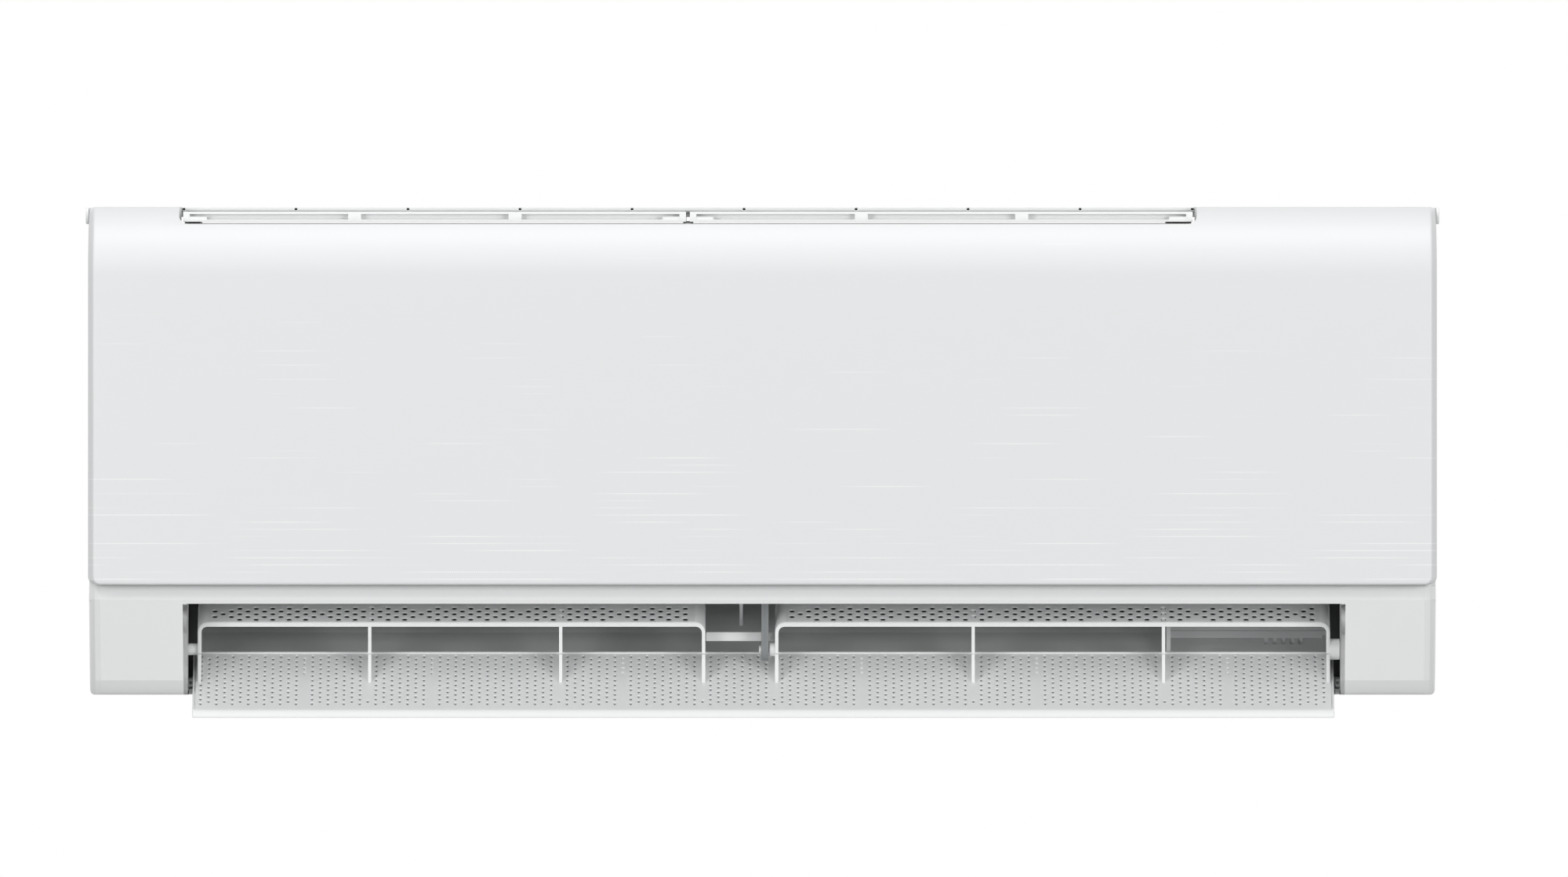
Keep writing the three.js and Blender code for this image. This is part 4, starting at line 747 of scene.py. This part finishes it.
def flap():
    run, rise, length = unit_step(INNER_REAR, INNER_NOSE)
    sheet = perforated_sheet(
        143, 12, 4.92, 5.68, flap_holes(), INNER_REAR, (run, rise), (-rise, run),
        ((FLAP_LEFT + 1.2, FLAP_RIGHT - 1.2), (1.2, length - 1.0)), SKIN,
    )
    finish_mesh("flap_inner_skin", sheet, *VANE_WHITE, "flap", smooth=35)

    run2, rise2, length2 = unit_step(OUTER_FOOT, OUTER_TIP)

    def outer_hole(u, v, column):
        clear = min(abs(u - s) for s in STIFFENERS) > 2.5
        return 0.92 if clear and 3.0 < v < length2 - 4.0 and FLAP_LEFT + 3.6 < u < FLAP_RIGHT - 3.6 else None

    outer_hole.first_u, outer_hole.first_v, outer_hole.stretch = FLAP_LEFT + 5.0, 4.6, 1.35
    outer = perforated_sheet(
        143, 9, 4.92, 5.68, outer_hole, OUTER_FOOT, (run2, rise2), (rise2, -run2),
        ((FLAP_LEFT + 1.2, FLAP_RIGHT - 1.2), (0.0, length2)), SKIN,
    )
    finish_mesh("flap_outer_skin", outer, *VANE_WHITE, smooth=35)

    frame_bm = bmesh.new()
    heel = opened([(134.3, 0.1)] + LOWER_FACE[:6])
    back_edge = opened([(133.2, 2.4), (133.0, 1.7), (133.2, 1.0), (134.3, 0.1)])
    curved = offset(heel, SKIN)
    upper = [
        (INNER_REAR[0] + run * 1.2, INNER_REAR[1] + rise * 1.2),
        (INNER_REAR[0] + run * 1.2 + rise * SKIN, INNER_REAR[1] + rise * 1.2 - run * SKIN),
    ]
    add_rounded_prism(frame_bm, [upper[0]] + back_edge + heel[1:] + curved[:0:-1] + [upper[1]],
                      FLAP_LEFT, FLAP_RIGHT, 0.4, 2)
    tip = (OUTER_TIP, INNER_NOSE)
    middle = ((tip[0][0] + tip[1][0]) / 2, (tip[0][1] + tip[1][1]) / 2)
    across = (tip[0][0] - middle[0], tip[0][1] - middle[1])
    nose_run = ((run + run2) / 2, (rise + rise2) / 2)
    nose = []
    for k in range(0, 9):
        t = math.pi * k / 8
        nose.append((
            middle[0] + across[0] * 0.98 * math.cos(t) + nose_run[0] * 1.4 * math.sin(t),
            middle[1] + across[1] * 0.98 * math.cos(t) + nose_run[1] * 1.4 * math.sin(t),
        ))
    inner_back = (INNER_NOSE[0] - run * 1.0, INNER_NOSE[1] - rise * 1.0)
    outer_back = (OUTER_TIP[0] - run2 * 0.02, OUTER_TIP[1] - rise2 * 0.02)
    add_rounded_prism(frame_bm, nose + [inner_back, outer_back], FLAP_LEFT, FLAP_RIGHT, 1.1, 4)
    under_nose = (INNER_NOSE[0] - run * 3 + rise, INNER_NOSE[1] - rise * 3 - run)
    over_tip = (OUTER_TIP[0] - run2 * 3 - rise2, OUTER_TIP[1] - rise2 * 3 + run2)
    for x in STIFFENERS:
        add_prism(frame_bm, [curved[-1], upper[1], under_nose, over_tip], x - 1.0, x + 1.0)
    cap = back_edge[:0:-1] + [INNER_REAR, INNER_NOSE, OUTER_TIP, *reversed(heel[1:])]
    for x0, x1 in ((FLAP_LEFT, FLAP_LEFT + 2.2), (FLAP_RIGHT - 2.2, FLAP_RIGHT)):
        add_rounded_prism(frame_bm, cap, x0, x1, 0.4, 2)
    finish_mesh("flap_frame", frame_bm, *VANE_WHITE, smooth=35)

    lip = bmesh.new()
    start = (INNER_REAR[0] + run * 0.6, INNER_REAR[1] + rise * 0.6)
    ahead = (start[0] + run * 1.1, start[1] + rise * 1.1)
    lip_section = [(start[0] - rise * h, start[1] + run * h) for h in (-0.6, 0.7)]
    lip_section += [(ahead[0] - rise * h, ahead[1] + run * h) for h in (0.7, -0.6)]
    add_rounded_prism(lip, lip_section, FLAP_LEFT + 0.6, FLAP_RIGHT - 0.6, 0.3, 2)
    finish_mesh("flap_rear_lip", lip, *VANE_WHITE, smooth=35)

    # a dark sheet behind the flap's inner skin: painted shade seen through its holes
    liner = bmesh.new()
    low = [(INNER_REAR[0] + run * 4 + rise * h, INNER_REAR[1] + rise * 4 - run * h) for h in (1.5, 2.1)]
    high = [(INNER_NOSE[0] - run * 4 + rise * h, INNER_NOSE[1] - rise * 4 - run * h) for h in (2.1, 1.5)]
    add_prism(liner, low + high, FLAP_LEFT + 3.0, FLAP_RIGHT - 3.0)
    finish_mesh("flap_shade_liner", liner, *HOLE_SHADE)

    feet = bmesh.new()
    for span in SPANS:
        under_ribs = [(r - 1, r + 1) for r in span["ribs"]]
        for x0, x1 in ((span["x0"], span["x0"] + 2.2), *under_ribs, (span["x1"] - 2.2, span["x1"])):
            add_prism(feet, [(118.0, 25.2), (142.0, 25.2), (142.0, 7.4), (118.0, 21.4)], x0, x1)
    dress("flap_feet", settled(edge_rounded(as_object(feet), 0.25)), *VANE_WHITE)


# ---------------------------------------------------------------- deflector: upper vanes

ROOF = {
    "front": 142.0, "back": 116.0, "top": 44.9, "rise": math.tan(math.radians(30.0)),
    "thick": 3.1, "side": 2.2,
}
SPLIT = 25.5
ROOF_SKIN = 0.9  # wall of the vanes' perforated roofs


def roof_holes(first_u):
    def hole(u, v, column):
        middle = abs(v - 10.4) < 1.0
        if column < 0 or column > hole.last:
            return None
        if not 2.0 < v < 19.0:
            return None
        step = column % 12
        if step == 1:
            return 1.75 if middle else None
        return 1.75

    hole.first_u, hole.first_v, hole.stretch = first_u, 10.4 - 2.5 * 6.7, 1.0
    return hole


def upper_vane(span):
    x0, x1, r = span["x0"], span["x1"], 6.5
    slope = math.radians(30.0)
    run, rise = -math.cos(slope), math.sin(slope)
    holes = roof_holes(x0 + 10.6)
    count = int((x1 - x0 - 19.0) / 5.1)
    holes.last = count
    reach = (ROOF["front"] - ROOF["back"]) / math.cos(slope)
    sheet = perforated_sheet(
        count + 1, 5, 5.1, 6.7, holes, (ROOF["front"], ROOF["top"]), (run, rise), (rise, -run),
        ((x0 + r, x1 - r), (1.0, reach)), ROOF_SKIN,
    )
    finish_mesh(f"vane_roof_{span['name']}", sheet, *VANE_WHITE,
                f"upper_vane_{span['name']}", smooth=35)

    bm = bmesh.new()
    top, thick, side = ROOF["top"], ROOF["thick"], ROOF["side"]

    left_out = arc(x0 + r, top - r, r, r, 180, 90, 8)
    inner_r = r - (thick + side) / 2
    left_in = arc(x0 + side + inner_r, top - thick - inner_r, inner_r, inner_r, 180, 90, 8)
    right_out = [(x0 + x1 - x, z) for x, z in reversed(left_out)]
    right_in = [(x0 + x1 - x, z) for x, z in reversed(left_in)]
    outer = [(x0, SPLIT)] + left_out + right_out + [(x1, SPLIT)]
    inner = [(x0 + side, SPLIT)] + left_in + right_in + [(x1 - side, SPLIT)]

    def sheared(x, d, z):
        lift = (ROOF["front"] - d) * ROOF["rise"] if z > SPLIT + 0.01 else 0.0
        share = min(1.0, (z - SPLIT) / (top - r - SPLIT)) if z > SPLIT else 0.0
        return spot(x, d, z + lift * share)

    stations = [(142.0, 0.5), (141.85, 0.15), (141.5, 0.0), (116.0, 0.0)]
    rings = []
    for d, tuck in stations:
        ring = []
        for (ox, oz), (ix, iz) in zip(outer, inner):
            mx, mz = (ox + ix) / 2, (oz + iz) / 2
            length = math.hypot(ox - ix, oz - iz)
            keep = max(0.0, 1 - 2 * tuck / length)
            ring.append((sheared(mx + (ox - mx) * keep, d, mz + (oz - mz) * keep if oz > SPLIT else SPLIT),
                         sheared(mx + (ix - mx) * keep, d, mz + (iz - mz) * keep if iz > SPLIT else SPLIT)))
        rings.append([(bm.verts.new(a), bm.verts.new(b)) for a, b in ring])
    n = len(outer)
    for k in range(n - 1):
        straight = k == 9  # the long stretch between the corners, where the perforated roof lies
        for a, b in zip(rings, rings[1:]):
            last = b is rings[-1]
            if not (straight and last):
                bm.faces.new([a[k][0], a[k + 1][0], b[k + 1][0], b[k][0]])
            bm.faces.new([a[k][1], b[k][1], b[k + 1][1], a[k + 1][1]])
        bm.faces.new([rings[0][k][0], rings[0][k][1], rings[0][k + 1][1], rings[0][k + 1][0]])
        if not straight:
            bm.faces.new([rings[-1][k][0], rings[-1][k + 1][0], rings[-1][k + 1][1], rings[-1][k][1]])
    for x in span["ribs"]:
        back_top = top - 1.0 + (142.0 - 116.0) * ROOF["rise"]
        rib = [(116.0, SPLIT), (141.6, SPLIT), (141.6, top - 1.0), (116.0, back_top)]
        add_rounded_prism(bm, rib, x - 1.0, x + 1.0, 0.2, 2)
    finish_mesh(f"vane_frame_{span['name']}", bm, *VANE_WHITE, smooth=40)

    # a dark sheet under the vane's roof: painted shade seen through its holes
    liner = bmesh.new()
    back_rise = (ROOF["front"] - ROOF["back"] - 0.6) * ROOF["rise"]
    liner_section = [
        (ROOF["front"] - 1.5, top - 1.0), (ROOF["back"] + 0.6, top + back_rise - 1.9),
        (ROOF["back"] + 0.6, top + back_rise - 2.5), (ROOF["front"] - 1.5, top - 1.6),
    ]
    add_prism(liner, liner_section, x0 + r, x1 - r)
    finish_mesh(f"vane_shade_liner_{span['name']}", liner, *HOLE_SHADE)


def pivot_bosses():
    bm = bmesh.new()

    def boss(radius, x0, x1):
        turned = [(x0, radius - 0.4), (x0 + 0.4, radius), (x1 - 0.4, radius), (x1, radius - 0.4)]
        rings = []
        for x, reach in turned:
            around = arc(*PIVOT, reach, reach, 0, 360, 40)[:-1]
            rings.append([bm.verts.new(spot(x, d, z)) for d, z in around])
        bridge(bm, rings)
        bm.faces.new(rings[0][::-1])
        bm.faces.new(rings[-1])

    boss(3.6, -358.4, -348.0)
    boss(4.35, 4.1, 8.7)
    boss(2.4, -2.2, 7.7)
    boss(6.5, 349.7, 356.7)
    boss(5.0, 350.7, 363.1)
    finish_mesh("vane_pivot_bosses", bm, *VANE_WHITE, smooth=40)


# ---------------------------------------------------------------- grille, arm and link


def top_grille():
    bm = bmesh.new()
    x0, x1, d0, d1, bar = -358.7, 266.7, 30.3, 138.7, 2.4
    wide, deep = (x1 - x0 - bar) / 9, (d1 - d0 - bar) / 5
    for i in range(10):
        add_block(bm, x0 + i * wide, x0 + i * wide + bar, d0, d1, 298.9, 301.3)
    for j in range(6):
        add_block(bm, x0, x1, d0 + j * deep, d0 + j * deep + bar, 299.1, 301.2)
    data = settled(edge_rounded(as_object(bm), 0.4, 2))
    dress("intake_grille", data, *CASE_WHITE, "top_grille")


def middle_arm():
    bm = bmesh.new()
    foot = arc(PIVOT[0], PIVOT[1], 7.0, 7.0, 200, 360, 16)
    shank = [(143.5, 42.0), (147.0, 62.3), (140.0, 64.4), (133.0, 69.6), (130.0, 52.0), (128.0, 36.0)]
    add_prism(bm, foot + shank, -0.7, 3.8)
    flange = bmesh.new()
    bent = [(147.0, 60.3), (147.0, 62.4), (140.0, 64.5), (133.4, 69.4), (133.4, 66.8), (140.0, 62.0)]
    add_prism(flange, bent, -9.0, 13.0)
    hole = bmesh.new()
    add_bar(hole, 2.7, (-20, *PIVOT), (20, *PIVOT))
    arm = carved(as_object(bm), as_object(hole))
    dress("arm_web", settled(edge_rounded(arm, 0.5, 2, 35)), *ARM_GREY, "centre_bracket")
    dress("arm_flange", settled(edge_rounded(as_object(flange), 0.4)), *ARM_GREY)


# black strips before the duct's end walls, and the pale plate behind the slotted pocket: x, d and z spans
BAFFLES = {
    "left_end_dark_strip": ((-357.2, -348.9), (94.0, 95.2), (8.0, 62.0)),
    "right_end_dark_strip": ((350.8, 358.6), (94.0, 95.2), (8.0, 62.0)),
    "pocket_plate": ((252.0, 350.4), (59.0, 60.2), (26.0, 44.0)),
}


def inner_baffles():
    for name, (across, deep, tall) in BAFFLES.items():
        bm = bmesh.new()
        add_block(bm, *across, *deep, *tall)
        if name == "pocket_plate":
            finish_mesh(name, bm, "unit", "inner_white_abs", duct_ps)
        else:
            finish_mesh(name, bm, "unit", "black_plastic", black_abs)


GAS_RADIUS, LIQUID_RADIUS = 4.76, 3.2
NUT_END = -40.0  # the pipes' nuts run from here towards the left


def pipe(name, radius, points):
    """A drawn tube bent smoothly through its points."""
    line = bpy.data.curves.new(name, "CURVE")
    line.dimensions, line.use_fill_caps = "3D", True
    line.bevel_depth, line.bevel_resolution = radius / 1000.0, 6
    line.resolution_u = 10
    run = line.splines.new("BEZIER")
    run.bezier_points.add(len(points) - 1)
    for knot, point in zip(run.bezier_points, points):
        knot.co = spot(*point)
        knot.handle_left_type = knot.handle_right_type = "AUTO"
    dress(f"{name}_tube", settled(placed(name, line)), "unit", "copper_tube", copper, name, smooth=50)


def refrigerant_pipes():
    """Both pipes leave the coil's right end, turn down behind it and run back along the channel."""
    end = 252.6
    pipe("gas_pipe", GAS_RADIUS, [
        (end + 2, 57, 222), (end + 13.4, 57, 222), (end + 20.9, 50, 221), (end + 20.9, 22, 212),
        (end + 15.4, 15.6, 188), (end + 11.4, 15.6, 150), (end + 11.4, 15.6, 96), (end + 3.4, 15.6, 62),
        (end - 20.6, 15.6, 54), (100, 15.6, 54), (-39.7, 15.6, 54),
    ])
    pipe("liquid_pipe", LIQUID_RADIUS, [
        (end + 2.2, 110, 256), (end + 9.4, 110, 256), (end + 15.4, 98, 263), (end + 19.4, 60, 269),
        (end + 23.9, 24, 258), (end + 24.4, 14, 226), (end + 24.4, 14, 76), (end + 17.4, 14, 42),
        (end - 8.6, 14, 34), (100, 14, 34), (-39.7, 14, 34),
    ])


def flare_nut(name, radius, d, z, across, length):
    """A chamfered hexagon nut on the pipe's end, with the flare's bore in its mouth."""
    bm = bmesh.new()
    corners = arc(d, z, across / 2, across / 2, 0, 300, 5)
    mouth = NUT_END - length
    add_rounded_prism(bm, corners, mouth, NUT_END, 0.9, 3)
    neck = bmesh.new()
    add_bar(neck, radius + 2, (mouth - 4, d, z), (mouth + 2, d, z), 40)
    bore = bmesh.new()
    add_bar(bore, radius - 1, (mouth - 9, d, z), (mouth + 6, d, z), 32)
    body = as_object(bm)
    joined = body.modifiers.new("neck", "BOOLEAN")
    collar = as_object(neck)
    joined.object, joined.operation, joined.solver = collar, "UNION", "EXACT"
    body = placed("nut", settled(body))
    bpy.data.objects.remove(collar)
    data = settled(edge_rounded(carved(body, as_object(bore)), 0.25, 2, 40))
    dress(f"{name}_turned", data, "unit", "brass", brass, name, smooth=35)


def link_bar():
    bm = bmesh.new()
    add_block(bm, -35.0, 7.4, 117.0, 121.4, 33.0, 38.7)
    dress("link_bar", settled(edge_rounded(as_object(bm), 0.6)), *VANE_WHITE, "vane_link_bar")


front_panel()
front_casing()
hinge_ears()
top_clips()
flap()
for span in SPANS:
    upper_vane(span)
pivot_bosses()
top_grille()
middle_arm()
link_bar()
inner_baffles()
refrigerant_pipes()
flare_nut("gas_flare_nut", GAS_RADIUS, 15.6, 54.0, 19.0, 20.0)
flare_nut("liquid_flare_nut", LIQUID_RADIUS, 14.0, 34.0, 14.0, 16.0)

# ---------------------------------------------------------------- materials of the pieces kept from the CAD

KEPT = (
    (chassis_ps, "rear_chassis", "drain_pan"),
    (filter_net, "filter_left", "filter_right"),
    (zinc_sheet, "mounting_plate", "coil_end_left", "coil_end_right", "motor_clamp"),
    (zinc_sheet, "control_box_cover", "deflector_motor"),
    (fin_foil, "evaporator_front_lower", "evaporator_front_upper", "evaporator_rear"),
    (black_abs, "pipe_holder", "control_box", "terminal_block"),
    (fan_as, "cross_flow_fan"),
    (shaft_steel, "motor_shaft"),
    (rubber, "fan_bearing", "drain_plug"),
    (motor_paint, "fan_motor"),
    (board_green, "control_board", "receiver_board"),
    (satin_abs, "manual_button"),
    (duct_ps, *(f"vertical_vane_{side}_{i}" for side in ("left", "right") for i in range(1, 8))),
    (duct_ps, "tie_rod_left", "tie_rod_right"),
)
for material, *nodes in KEPT:
    for node in nodes:
        carried = bpy.data.objects[node]
        carried.data.materials.clear()
        carried.data.materials.append(material)
